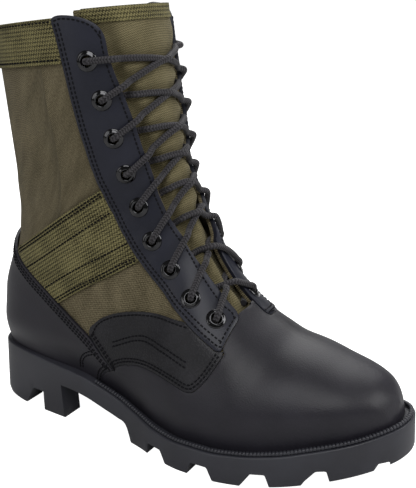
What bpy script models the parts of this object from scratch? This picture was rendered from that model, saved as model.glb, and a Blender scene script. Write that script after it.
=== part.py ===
"""Jungle boot for the right foot: leather foot, nylon shaft, lugged rubber sole.

Metres, +Z up. The toe points along +X and the lateral side faces -Y. The boot stands
on Z = 0, with the origin under the middle of its box.
"""

import math

import bmesh
import bpy
import numpy as np
from mathutils import Vector
from mathutils.bvhtree import BVHTree

# Driving sizes of the whole boot
SOLE_LENGTH = 0.305
BALL_WIDTH = 0.108
HEEL_WIDTH = 0.068
SHAFT_HEIGHT = 0.270
HEEL_HEIGHT = 0.046
FOREPART_THICKNESS = 0.019
TOE_SPRING = 0.013

# Walls and gaps
SEAT_GAP = 0.0003
WALL = 0.0020
LEATHER = 0.0018
WEBBING = 0.0014
TONGUE_THICKNESS = 0.0024
INSOLE_THICKNESS = 0.0040

# Sole details
EDGE_ROUND = 0.0012
LUG_WIDTH = 0.017
HEEL_LUG_DEPTH = 0.0155
FORE_LUG_DEPTH = 0.0090
WELT_WIDTH = 0.0028
WELT_HEIGHT = 0.0024
WELT_INSET = 0.0010
HEEL_FLARE = 0.0035
HEEL_BEVEL = 0.0060
HEEL_BEVEL_HEIGHT = 0.0080
CHANNEL_OVERLAP = 0.0020

# Throat, eyelets and lace
COLLAR_BAND = 0.0262
EYELET_RADIUS = 0.0057
EYELET_HOLE = 0.0030
EYELET_HEIGHT = 0.0013
EYELET_SIDES = 8
LACE_RADIUS = 0.0018
LACE_CLEARANCE = 0.0009
LACE_OVERHANG = 0.0015
LACE_SPAN = 5
LACE_SAMPLES = 241
LACE_LIFTS = 13
LACE_POINTS = 6
# Where the upper strand of a crossing rises over the lower one, and how widely
CROSSING_PLACE = 0.42
CROSSING_SPREAD = 0.25
# How far past the edge of the throat a strand comes down to the tongue, in lace radii
LACE_DESCENT = 3.2
TONGUE_REACH = 0.016
TONGUE_RISE = 0.003
MEDIAL_LIFT = 0.0050
MEDIAL_FORWARD = 0.0030

# The upper's foot: how far it stays inside the sole's edge, and how far up it follows it
HEEL_INSET = 0.0046
FORE_INSET = 0.0072
FOOT_BLEND = 0.028
FOOT_STATIONS = [0.0, 0.16, 0.28, 1.0]
TOE_START = 0.6
# How closely the foot follows the sole's edge before it is held there
FOOT_STRETCH = 1.04
FOOT_POWER = 9

# How finely the curved pieces are faceted
FORM_ROWS = 24
FORM_SIDES = 22
SOLE_STATIONS = 44
MERGE_DISTANCE = 0.00002

# Where the welt begins
WELT_START = 0.33

# Sole outline: place along the sole, then how far each side lies from the axis,
# as shares of the heel's and of the ball's width
OUTLINE = [
    # station, lateral heel, lateral ball, medial heel, medial ball
    (0.000, 0.000, 0.000, 0.000, 0.000),
    (0.008, 0.220, 0.000, 0.240, 0.000),
    (0.026, 0.340, 0.000, 0.370, 0.000),
    (0.066, 0.430, 0.000, 0.460, 0.000),
    (0.131, 0.490, 0.000, 0.510, 0.000),
    (0.197, 0.525, 0.000, 0.500, 0.000),
    (0.262, 0.450, 0.065, 0.380, 0.060),
    (0.328, 0.310, 0.165, 0.240, 0.130),
    (0.393, 0.150, 0.280, 0.110, 0.212),
    (0.459, 0.040, 0.395, 0.030, 0.292),
    (0.525, 0.000, 0.485, 0.000, 0.362),
    (0.590, 0.000, 0.522, 0.000, 0.418),
    (0.656, 0.000, 0.528, 0.000, 0.456),
    (0.721, 0.000, 0.500, 0.000, 0.470),
    (0.787, 0.000, 0.438, 0.000, 0.458),
    (0.852, 0.000, 0.350, 0.000, 0.426),
    (0.918, 0.000, 0.238, 0.000, 0.368),
    (0.967, 0.000, 0.118, 0.000, 0.286),
    (0.991, 0.000, 0.024, 0.000, 0.206),
    (1.000, 0.000, -0.090, 0.000, 0.090),
]

# Height of the sole's ledge, on which the upper stands
LEDGE = [
    # station, share of heel height, of forepart thickness, of toe spring
    (0.000, 1.010, 0.000, 0.000),
    (0.098, 0.965, 0.000, 0.000),
    (0.197, 0.900, 0.000, 0.000),
    (0.295, 0.760, 0.150, 0.000),
    (0.344, 0.600, 0.330, 0.000),
    (0.393, 0.420, 0.530, 0.000),
    (0.443, 0.250, 0.720, 0.000),
    (0.492, 0.110, 0.880, 0.000),
    (0.541, 0.030, 0.970, 0.000),
    (0.590, 0.000, 1.000, 0.000),
    (0.656, 0.000, 1.000, 0.000),
    (0.721, 0.000, 1.020, 0.020),
    (0.787, 0.000, 1.030, 0.110),
    (0.852, 0.000, 1.060, 0.300),
    (0.918, 0.000, 1.080, 0.550),
    (1.000, 0.000, 1.100, 1.000),
]

# Where the forefoot leaves the floor
SPRING_START = 0.705

# Underside of the arch: station, share of heel height
ARCH = [
    # station, share of heel height
    (0.227, 0.560),
    (0.265, 0.545),
    (0.310, 0.490),
    (0.355, 0.400),
    (0.395, 0.325),
    (0.422, 0.270),
    (0.436, 0.000),
]

# Notches between the lugs, along both edges: stations at the floor, then at the top
NOTCHES = [
    # start, end, start at top, end at top, share of the lug's depth
    (0.490, 0.550, 0.498, 0.536, 1.00),
    (0.606, 0.668, 0.618, 0.656, 1.00),
    (0.722, 0.780, 0.744, 0.772, 1.00),
    (0.834, 0.884, 0.860, 0.878, 0.95),
    (0.952, 0.976, 0.956, 0.976, 0.40),
]
HEEL_NOTCH = (0.088, 0.158, 0.126, 0.162, 1.00)

# Hollows between the rows of lugs: start and end station
HOLLOWS = [(0.460, 0.505), (0.540, 0.620), (0.655, 0.732), (0.770, 0.850), (0.880, 0.945)]
HEEL_HOLLOWS = [(0.045, 0.105), (0.150, 0.240)]

# Sections of the last, from the toe to the collar. Each is a rounded loop between a low
# or back point and a high or front point, both on the boot's middle plane.
SECTIONS = [
    # low station, low height, high station, high height, centre, half width,
    # widest share, low power, high power, ridge
    (0.9755, 0.100, 0.9690, 0.155, 0.080, 0.020, 0.42, 2.6, 2.2, 0.00),
    (0.9685, 0.096, 0.9570, 0.177, 0.080, 0.115, 0.42, 3.4, 2.3, 0.00),
    (0.9520, 0.090, 0.9370, 0.198, 0.074, 0.204, 0.40, 4.5, 2.3, 0.00),
    (0.9180, 0.080, 0.9030, 0.216, 0.062, 0.282, 0.38, 5.5, 2.3, 0.00),
    (0.8640, 0.066, 0.8510, 0.237, 0.038, 0.352, 0.34, 6.0, 2.2, 0.01),
    (0.7800, 0.052, 0.7730, 0.268, 0.004, 0.430, 0.31, 6.0, 2.1, 0.02),
    (0.6830, 0.044, 0.6950, 0.317, -0.032, 0.468, 0.28, 6.0, 2.0, 0.03),
    (0.5920, 0.046, 0.6360, 0.378, -0.044, 0.460, 0.27, 6.0, 1.9, 0.04),
    (0.4990, 0.060, 0.5940, 0.446, -0.030, 0.418, 0.28, 6.0, 1.9, 0.04),
    (0.3960, 0.088, 0.5680, 0.512, -0.010, 0.366, 0.30, 6.0, 1.9, 0.04),
    (0.2920, 0.114, 0.5510, 0.570, -0.006, 0.350, 0.32, 6.0, 1.9, 0.03),
    (0.1800, 0.132, 0.5410, 0.619, -0.002, 0.346, 0.36, 5.5, 2.0, 0.03),
    (0.0780, 0.140, 0.5330, 0.656, 0.000, 0.346, 0.40, 5.0, 2.0, 0.02),
    (0.0290, 0.195, 0.5260, 0.683, 0.000, 0.344, 0.43, 3.6, 2.0, 0.02),
    (0.0310, 0.300, 0.5220, 0.711, 0.000, 0.344, 0.47, 2.7, 2.0, 0.02),
    (0.0640, 0.415, 0.5180, 0.744, 0.002, 0.350, 0.50, 2.3, 2.1, 0.02),
    (0.0940, 0.537, 0.5110, 0.786, 0.004, 0.364, 0.50, 2.2, 2.1, 0.02),
    (0.1020, 0.650, 0.5040, 0.840, 0.006, 0.382, 0.50, 2.2, 2.1, 0.01),
    (0.1010, 0.800, 0.4960, 0.922, 0.008, 0.400, 0.50, 2.2, 2.2, 0.01),
    (0.0940, 1.040, 0.4860, 1.070, 0.009, 0.412, 0.50, 2.2, 2.2, 0.01),
]

# Lines drawn on the boot's side, as shares of the sole's length and the shaft's height

# Front edge of the eyestay, from the collar to the foot of the throat
THROAT_EDGE = [
    (0.430, 1.120), (0.433, 1.000), (0.440, 0.915), (0.461, 0.810), (0.475, 0.727),
    (0.492, 0.634), (0.518, 0.556), (0.557, 0.485), (0.593, 0.426), (0.633, 0.372),
    (0.658, 0.347), (0.672, 0.328),
]
# Line across the foot of the throat
THROAT_FOOT = [(0.725, 0.393), (0.900, 0.600), (0.900, 1.120)]
# Rear edge of the eyestay, from the collar down
EYESTAY_REAR = [
    (0.341, 0.996), (0.347, 0.960), (0.356, 0.889), (0.366, 0.796), (0.382, 0.674),
    (0.406, 0.578), (0.456, 0.474), (0.528, 0.385), (0.605, 0.318), (0.645, 0.287),
]
# Rounded foot of the eyestay, from its rear edge to the throat
EYESTAY_FOOT = [(0.659, 0.281), (0.676, 0.284), (0.690, 0.296), (0.692, 0.310), (0.684, 0.321)]
# Rounded top of the eyestay, from the throat to its rear edge
EYESTAY_TOP = [(0.434, 0.966), (0.420, 0.992), (0.392, 1.008), (0.360, 1.013), (0.343, 1.008)]
# Top, front and lower edge of the saddle, from the counter forwards and back again
SADDLE = [
    (0.338, 0.262), (0.360, 0.300), (0.397, 0.324), (0.440, 0.337), (0.485, 0.343),
    (0.540, 0.341), (0.600, 0.330), (0.662, 0.300), (0.669, 0.276), (0.653, 0.236),
    (0.633, 0.208), (0.612, 0.198), (0.564, 0.209), (0.508, 0.217), (0.446, 0.211),
    (0.407, 0.195), (0.396, 0.186),
]
# Front edge of the counter, from the back of the heel to the sole
COUNTER_EDGE = [
    (0.080, 0.484), (0.131, 0.444), (0.197, 0.383), (0.246, 0.337), (0.295, 0.291),
    (0.341, 0.252), (0.370, 0.222), (0.398, 0.188), (0.367, 0.167), (0.349, 0.144),
    (0.341, 0.110), (0.340, 0.000),
]
# Rear and upper edge of the vamp, under the saddle and the eyestay
VAMP_EDGE = [(0.398, 0.190), (0.460, 0.225), (0.620, 0.235), (0.666, 0.290), (0.666, 0.420)]
# Upper and lower edge of the webbing over the ankle
ANKLE_UPPER = [(0.100, 0.430), (0.187, 0.485), (0.305, 0.567), (0.400, 0.633)]
ANKLE_LOWER = [(0.500, 0.478), (0.449, 0.448), (0.377, 0.406), (0.295, 0.357), (0.220, 0.306)]
# Rim of the collar, from the back to the front
RIM = [(-0.200, 0.984), (0.100, 0.995), (0.345, 1.008), (0.500, 1.015), (0.700, 1.020)]
# Upper edge of the collar's webbing, which ends under the eyestay
BAND_TOP = RIM[:3] + [(0.385, 1.010)]
# Lower edge of the tongue, under the vamp
TONGUE_FOOT = [(0.655, 0.300), (0.690, 0.296), (0.775, 0.410)]
# Places of the eyelets, from the collar down
EYELET_PLACES = [
    (0.403, 0.915), (0.420, 0.830), (0.431, 0.745), (0.443, 0.663), (0.463, 0.582),
    (0.490, 0.505), (0.530, 0.440), (0.582, 0.381), (0.634, 0.338),
]

# Material slots: colour, roughness, metallic
SLOTS = {
    # slot: colour, roughness, metallic
    "sole_rubber": ((0.030, 0.032, 0.040), 0.55, 0.0),
    "smooth_leather": ((0.020, 0.020, 0.026), 0.42, 0.0),
    "pebbled_leather": ((0.019, 0.020, 0.026), 0.60, 0.0),
    "olive_nylon": ((0.085, 0.074, 0.042), 0.85, 0.0),
    "green_webbing": ((0.095, 0.092, 0.030), 0.88, 0.0),
    "black_metal": ((0.015, 0.015, 0.017), 0.25, 0.8),
    "lace_cord": ((0.016, 0.016, 0.020), 0.80, 0.0),
    "insole_board": ((0.045, 0.042, 0.038), 0.90, 0.0),
}


def slopes(knots, values):
    """Slopes of a smooth curve through the values that never overshoots them."""
    step = np.diff(knots)
    rise = np.diff(values, axis=0) / step[:, None]
    inner = np.zeros_like(values)
    for i in range(1, len(knots) - 1):
        before, after = rise[i - 1], rise[i]
        weight_before = 2 * step[i] + step[i - 1]
        weight_after = step[i] + 2 * step[i - 1]
        same = before * after > 0
        with np.errstate(divide="ignore", invalid="ignore"):
            mean = (weight_before + weight_after) / (weight_before / before + weight_after / after)
        inner[i] = np.where(same, mean, 0.0)
    inner[0] = rise[0]
    inner[-1] = rise[-1]
    return inner


def smooth(knots, values, places):
    """Values of the smooth curve at the given places, clamped to its ends."""
    knots = np.asarray(knots, float)
    values = np.asarray(values, float)
    flat = values.ndim == 1
    if flat:
        values = values[:, None]
    places = np.clip(np.atleast_1d(np.asarray(places, float)), knots[0], knots[-1])
    slope = slopes(knots, values)
    index = np.clip(np.searchsorted(knots, places, side="right") - 1, 0, len(knots) - 2)
    span = (knots[index + 1] - knots[index])[:, None]
    t = (places[:, None] - knots[index][:, None]) / span
    start = (2 * t ** 3 - 3 * t ** 2 + 1) * values[index]
    start_slope = (t ** 3 - 2 * t ** 2 + t) * span * slope[index]
    end = (-2 * t ** 3 + 3 * t ** 2) * values[index + 1]
    end_slope = (t ** 3 - t ** 2) * span * slope[index + 1]
    result = start + start_slope + end + end_slope
    return result[:, 0] if flat else result


def round_place(station):
    """Angle along the sole in which its round ends are evenly spread."""
    return np.arccos(np.clip(1 - 2 * np.asarray(station, float), -1, 1)) / math.pi


def sole_sides(station):
    """Y of the lateral and of the medial edge at a station of the sole."""
    table = np.array(OUTLINE)
    lateral = table[:, 1] * HEEL_WIDTH + table[:, 2] * BALL_WIDTH
    medial = table[:, 3] * HEEL_WIDTH + table[:, 4] * BALL_WIDTH
    edges = smooth(round_place(table[:, 0]), np.stack([-lateral, medial], 1), round_place(station))
    return edges[:, 0], edges[:, 1]


def ledge_height(station):
    """Height of the ledge over the floor."""
    table = np.array(LEDGE)
    height = table[:, 1] * HEEL_HEIGHT + table[:, 2] * FOREPART_THICKNESS + table[:, 3] * TOE_SPRING
    return smooth(table[:, 0], height, station)


def tread_height(station):
    """Height of the lugs' feet: on the floor, then rising to the toe spring."""
    past = np.clip((np.asarray(station, float) - SPRING_START) / (1 - SPRING_START), 0, 1)
    return TOE_SPRING * past ** 2


def section_tracks(places):
    """Sections of the last at places between 0, the toe, and 1, the collar."""
    table = np.array(SECTIONS)
    sizes = np.array([SOLE_LENGTH, SHAFT_HEIGHT, SOLE_LENGTH, SHAFT_HEIGHT, BALL_WIDTH,
                      BALL_WIDTH, 1, 1, 1, BALL_WIDTH])
    track = table * sizes
    middle = (track[:, 0:2] + track[:, 2:4]) / 2
    step = np.maximum(np.linalg.norm(np.diff(middle, axis=0), axis=1), SOLE_LENGTH / 25)
    along = np.concatenate([[0], np.cumsum(step)])
    return smooth(along / along[-1], track, places)


def keep_on_ledge(points):
    """Draw the foot of the last in, so that it stands inside the sole's edge."""
    station = points[..., 0].ravel() / SOLE_LENGTH
    toe = np.clip((station - TOE_START) / (1 - TOE_START), 0, 1)
    lateral, medial = sole_sides(station + toe * FORE_INSET / SOLE_LENGTH)
    side = points[..., 1].ravel()
    inset = smooth(FOOT_STATIONS, [HEEL_INSET, HEEL_INSET, FORE_INSET, FORE_INSET], station)
    limit = np.where(side < 0, -lateral, medial) - inset * (1 - toe ** 4)
    limit = np.maximum(limit, SEAT_GAP)
    wide = np.maximum(np.abs(side), 1e-6) * FOOT_STRETCH
    held = (wide ** -FOOT_POWER + limit ** -FOOT_POWER) ** (-1 / FOOT_POWER) * np.sign(side)
    rise = np.clip((points[..., 2].ravel() - ledge_height(station)) / FOOT_BLEND, 0, 1)
    hold = 1 - rise * rise * (3 - 2 * rise)
    points[..., 1] = (side + (held - side) * hold).reshape(points.shape[:-1])
    return points


def last_points(places, angles):
    """Points on the outside of the upper's wall; the angle starts at the front."""
    rows = section_tracks(places)
    low_x, low_z, high_x, high_z, centre, half, widest, low_power, high_power, ridge = rows.T
    sine, cosine = np.cos(angles), -np.sin(angles)
    power = np.where(sine >= 0, high_power, low_power)
    across = np.sign(cosine) * np.abs(cosine) ** (2 / power)
    reach = np.abs(sine) ** (2 / power)
    share = np.where(sine >= 0, widest + (1 - widest) * reach, widest - widest * reach)
    points = np.stack([low_x + (high_x - low_x) * share,
                       centre + half * across + ridge * share,
                       low_z + (high_z - low_z) * share], axis=1)
    return keep_on_ledge(points)


def last_grid(rows, sides):
    """Grid of points and outward normals on the upper's outside, from toe to collar."""
    places, angles = np.meshgrid(np.linspace(0, 1, rows),
                                 np.linspace(0, 2 * math.pi, sides, endpoint=False), indexing="ij")
    points = last_points(places.ravel(), angles.ravel()).reshape(rows, sides, 3)
    around = np.roll(points, -1, axis=1) - np.roll(points, 1, axis=1)
    along = np.gradient(points, axis=0)
    normals = np.cross(along, around)
    normals /= np.maximum(np.linalg.norm(normals, axis=2, keepdims=True), 1e-9)
    return points, normals


def side_line(shares):
    """Points of the side view in metres, from shares of the driving sizes."""
    return [(x * SOLE_LENGTH, z * SHAFT_HEIGHT) for x, z in shares]


def moved(line, forward, up):
    """The same line of the side view, moved."""
    return [(x + forward, z + up) for x, z in line]


def medial_line(line):
    """A line of the lateral side as it lies on the medial side of the throat."""
    return moved(line, MEDIAL_FORWARD, MEDIAL_LIFT)


def grown(outline, gap):
    """Closed outline moved outwards everywhere by the gap."""
    points = np.array(outline)
    after = np.roll(points, -1, axis=0)
    area = np.sum(points[:, 0] * after[:, 1] - after[:, 0] * points[:, 1])
    edge = (after - points) / np.linalg.norm(after - points, axis=1, keepdims=True)
    outward = np.stack([edge[:, 1], -edge[:, 0]], 1) * np.sign(area)
    before = np.roll(outward, 1, axis=0)
    share = 1 + np.sum(outward * before, axis=1, keepdims=True)
    return [tuple(p) for p in points + gap * (outward + before) / np.maximum(share, 0.3)]


def sole_stations():
    """Stations of the sole, closer together at its round ends."""
    return (1 - np.cos(np.linspace(0, math.pi, SOLE_STATIONS))) / 2


def sole_loop():
    """Outline of the sole seen from above, counterclockwise, and its outward normals."""
    stations = sole_stations()
    lateral, medial = sole_sides(stations)
    x = stations * SOLE_LENGTH
    loop = np.concatenate([np.stack([x, lateral], 1), np.stack([x, medial], 1)[-2:0:-1]])
    along = np.roll(loop, -1, axis=0) - np.roll(loop, 1, axis=0)
    normals = np.stack([along[:, 1], -along[:, 0]], 1)
    return loop, normals / np.linalg.norm(normals, axis=1, keepdims=True)


def sole_ring(offset, height):
    """Ring around the sole at an offset from its outline and a height over each place."""
    loop, normals = sole_loop()
    plan = loop + normals * np.reshape(offset, (-1, 1))
    return np.column_stack([plan, height(plan[:, 0] / SOLE_LENGTH)])


def middle_of_boot():
    """Middle of the boot's box seen from above."""
    ring = low_sole_ring()
    return (ring.min(axis=0)[:2] + ring.max(axis=0)[:2]) / 2


def heel_share():
    """How much of the heel's flare each place of the sole's outline has."""
    loop = sole_loop()[0]
    place = np.clip(loop[:, 0] / SOLE_LENGTH / 0.12, 0, 1)
    return 1 - place * place * (3 - 2 * place)


def low_sole_ring():
    """Widest ring low on the sole, with the flare at the back of the heel."""
    share = heel_share()
    ring = sole_ring(HEEL_FLARE * share, tread_height)
    ring[:, 2] += EDGE_ROUND + (HEEL_BEVEL_HEIGHT - EDGE_ROUND) * share
    return ring


class Workshop:
    """Makes the objects and keeps them in their collections."""

    def __init__(self):
        for thing in list(bpy.data.objects):
            bpy.data.objects.remove(thing, do_unlink=True)
        self.parts = self.collection("jungle_boot")
        self.tools = self.collection("cutters")
        self.shift = np.append(middle_of_boot(), 0.0)
        self.slots = {name: self.material(name, *values) for name, values in SLOTS.items()}

    def collection(self, name):
        group = bpy.data.collections.new(name)
        bpy.context.scene.collection.children.link(group)
        return group

    def material(self, name, colour, roughness, metallic):
        slot = bpy.data.materials.new(name)
        slot.use_nodes = True
        shader = slot.node_tree.nodes["Principled BSDF"]
        shader.inputs["Base Color"].default_value = (*colour, 1.0)
        shader.inputs["Roughness"].default_value = roughness
        shader.inputs["Metallic"].default_value = metallic
        slot.diffuse_color = (*colour, 1.0)
        return slot

    def mesh(self, name, points, faces):
        """Clean mesh with its normals outwards, moved to the middle of the boot."""
        mesh = bpy.data.meshes.new(name)
        mesh.from_pydata((np.asarray(points) - self.shift).tolist(), [], faces)
        work = bmesh.new()
        work.from_mesh(mesh)
        bmesh.ops.remove_doubles(work, verts=work.verts, dist=MERGE_DISTANCE)
        bmesh.ops.recalc_face_normals(work, faces=work.faces)
        work.to_mesh(mesh)
        work.free()
        return mesh

    def part(self, name, mesh, slot):
        thing = bpy.data.objects.new(name, mesh)
        thing.data.materials.clear()
        thing.data.materials.append(self.slots[slot])
        self.parts.objects.link(thing)
        return thing

    def tool(self, name, mesh):
        thing = bpy.data.objects.new(name, mesh)
        thing.hide_render = True
        thing.display_type = "WIRE"
        self.tools.objects.link(thing)
        return thing

    def prism(self, name, outline, start, end):
        """Cutter between two places across the boot, drawn as a closed line from its side."""
        count = len(outline)
        points = [(x, y, z) for y in (start, end) for x, z in outline]
        sides = [(i, (i + 1) % count, count + (i + 1) % count, count + i) for i in range(count)]
        faces = [tuple(range(count)), tuple(range(2 * count - 1, count - 1, -1))] + sides
        return self.tool(name, self.mesh(name, points, faces))


def combine(thing, tool, operation):
    """Boolean step between a part and a tool."""
    step = thing.modifiers.new(tool.name, "BOOLEAN")
    step.operation = operation
    step.solver = "EXACT"
    step.object = tool


def cut(thing, *tools):
    for tool in tools:
        combine(thing, tool, "DIFFERENCE")


def keep(thing, tool):
    combine(thing, tool, "INTERSECT")


def offset_grid(offset):
    """Grid of the last at an offset, its toe row drawn together to one point."""
    points, normals = last_grid(FORM_ROWS, FORM_SIDES)
    grid = points + offset * normals
    grid[0] = grid[0].mean(axis=0)
    return grid


def grid_faces(start):
    """Triangles over a grid whose points begin at the start."""
    faces = []
    for i in range(FORM_ROWS - 1):
        for j in range(FORM_SIDES):
            k = (j + 1) % FORM_SIDES
            near, far = start + i * FORM_SIDES, start + (i + 1) * FORM_SIDES
            if i > 0:
                faces.append((near + j, near + k, far + k))
            faces.append((near + j, far + k, far + j))
    return faces


def shell_mesh(shop, name, inner, outer):
    """Wall between two offsets of the last, open at the collar."""
    inside, outside = offset_grid(inner), offset_grid(outer)
    count = FORM_ROWS * FORM_SIDES
    rim = count - FORM_SIDES
    faces = grid_faces(0) + [face[::-1] for face in grid_faces(count)]
    for j in range(FORM_SIDES):
        k = (j + 1) % FORM_SIDES
        faces.append((rim + j, rim + k, count + rim + k, count + rim + j))
    return shop.mesh(name, np.concatenate([outside.reshape(-1, 3), inside.reshape(-1, 3)]), faces)


def solid_mesh(shop, name, offset):
    """Solid last at an offset, closed at the collar."""
    rim = (FORM_ROWS - 1) * FORM_SIDES
    faces = grid_faces(0) + [tuple(range(rim, rim + FORM_SIDES))]
    return shop.mesh(name, offset_grid(offset).reshape(-1, 3), faces)


def surface_tree(offset):
    """Search tree over the last at an offset."""
    return BVHTree.FromPolygons([Vector(p) for p in offset_grid(offset).reshape(-1, 3)],
                                grid_faces(0))


def side_hit(tree, x, z, side):
    """Point and normal where the side of the last is seen at a place of the side view."""
    place, normal, _, _ = tree.ray_cast(Vector((x, side * BALL_WIDTH, z)), Vector((0, -side, 0)))
    if normal.y * side < 0:
        normal = -normal
    return np.array(place), np.array(normal)


def eyestay_outline():
    """Closed outline of the lateral eyestay in the side view."""
    front = THROAT_EDGE[:1:-1]
    return side_line(EYESTAY_REAR + EYESTAY_FOOT + front + EYESTAY_TOP)


def rim_line(rise):
    """Line of the collar in the side view, raised."""
    return moved(side_line(RIM), 0, rise)


def below_foot():
    """Outline of all that lies under the upper's lower edge."""
    stations = np.concatenate([[-0.2], sole_stations(), [1.2]])
    top = [(s * SOLE_LENGTH, float(ledge_height(s)[0]) + SEAT_GAP) for s in stations]
    return top + [(stations[-1] * SOLE_LENGTH, -HEEL_HEIGHT), (stations[0] * SOLE_LENGTH, -HEEL_HEIGHT)]


def upper_tools(shop):
    """Cutters that the pieces of the upper share."""
    far = 2 * BALL_WIDTH
    tools = {"foot": shop.prism("cut_foot", below_foot(), -far, far)}
    throat = side_line(THROAT_EDGE + THROAT_FOOT)
    seam = SEAT_GAP / 2
    tools["throat_lateral"] = shop.prism("cut_throat_lateral", throat, -far, seam)
    tools["throat_medial"] = shop.prism("cut_throat_medial", medial_line(throat), -seam, far)
    top = 2 * SHAFT_HEIGHT
    rim = rim_line(0)
    tools["rim"] = shop.prism("cut_rim", rim + [(rim[-1][0], top), (rim[0][0], top)], -far, far)
    eyestay = eyestay_outline()
    saddle = side_line(SADDLE)
    counter = side_line(COUNTER_EDGE + [(-0.200, 0.000), (-0.200, 0.470)])
    vamp = side_line([(0.320, -0.100), (0.320, 0.100)] + VAMP_EDGE + [(1.200, 0.420), (1.200, -0.100)])
    ankle = side_line(ANKLE_UPPER + ANKLE_LOWER)
    band = side_line(BAND_TOP)
    band = band + moved(band, 0, -COLLAR_BAND)[::-1]
    for side, start, end in (("lateral", -far, 0), ("medial", 0, far)):
        stay = eyestay if side == "lateral" else medial_line(eyestay)
        tools["eyestay_" + side] = shop.prism("keep_eyestay_" + side, stay, start, end)
        tools["past_eyestay_" + side] = shop.prism("past_eyestay_" + side, grown(stay, SEAT_GAP), start, end)
        tools["saddle_" + side] = shop.prism("keep_saddle_" + side, saddle, start, end)
        tools["ankle_" + side] = shop.prism("keep_ankle_" + side, ankle, start, end)
    tools["past_saddle"] = shop.prism("past_saddle", grown(saddle, SEAT_GAP), -far, far)
    tools["counter"] = shop.prism("keep_counter", counter, -far, far)
    tools["past_counter"] = shop.prism("past_counter", grown(counter, SEAT_GAP), -far, far)
    tools["vamp"] = shop.prism("keep_vamp", vamp, -far, far)
    tools["band"] = shop.prism("keep_band", band, -far, far)
    return tools


def make_upper(shop, tools):
    """The hollow upper and the leather and webbing pieces that lie on it."""
    upper = shop.part("upper", shell_mesh(shop, "upper", -WALL, 0), "olive_nylon")
    cut(upper, tools["foot"], tools["throat_lateral"], tools["throat_medial"], tools["rim"])

    def layer(name, thickness, slot, tool):
        mesh = shell_mesh(shop, name, SEAT_GAP, SEAT_GAP + thickness)
        piece = shop.part(name, mesh, slot)
        keep(piece, tools[tool])
        return piece

    past_stays = (tools["past_eyestay_lateral"], tools["past_eyestay_medial"])
    for side in ("lateral", "medial"):
        past_stay = tools["past_eyestay_" + side]
        layer("eyestay_" + side, LEATHER, "smooth_leather", "eyestay_" + side)
        saddle = layer("saddle_" + side, LEATHER, "pebbled_leather", "saddle_" + side)
        cut(saddle, past_stay, tools["foot"])
        ankle = layer("ankle_webbing_" + side, WEBBING, "green_webbing", "ankle_" + side)
        cut(ankle, past_stay, tools["past_counter"], tools["past_saddle"])
    counter = layer("counter", LEATHER, "smooth_leather", "counter")
    cut(counter, tools["past_saddle"], tools["foot"])
    vamp = layer("vamp", LEATHER, "smooth_leather", "vamp")
    cut(vamp, tools["throat_lateral"], tools["throat_medial"], *past_stays,
        tools["past_saddle"], tools["past_counter"], tools["foot"])
    band = layer("collar_webbing", WEBBING, "green_webbing", "band")
    cut(band, *past_stays)


def make_tongue(shop):
    """The tongue, one layer under the upper from beneath the vamp to over the collar."""
    outer = -(WALL + SEAT_GAP)
    tongue = shop.part("tongue", shell_mesh(shop, "tongue", outer - TONGUE_THICKNESS, outer), "olive_nylon")
    back = moved(side_line(THROAT_EDGE[:-1]), -TONGUE_REACH, 0)
    foot = side_line(TONGUE_FOOT)
    rim = [(x, z) for x, z in rim_line(TONGUE_RISE) if x > back[1][0]]
    top_back = (back[1][0], float(np.interp(back[1][0], *np.array(rim_line(TONGUE_RISE)).T)))
    outline = [top_back] + back[2:] + foot + [(rim[-1][0], foot[-1][1])] + rim[::-1]
    keep(tongue, shop.prism("keep_tongue", outline, -2 * BALL_WIDTH, 2 * BALL_WIDTH))


def make_insole(shop):
    """The board and sock that close the upper underneath."""
    insole = shop.part("insole", solid_mesh(shop, "insole", -(WALL + SEAT_GAP)), "insole_board")
    low = below_foot()[:-2]
    slab = low + moved(low, 0, INSOLE_THICKNESS)[::-1]
    keep(insole, shop.prism("keep_insole", slab, -2 * BALL_WIDTH, 2 * BALL_WIDTH))


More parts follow.
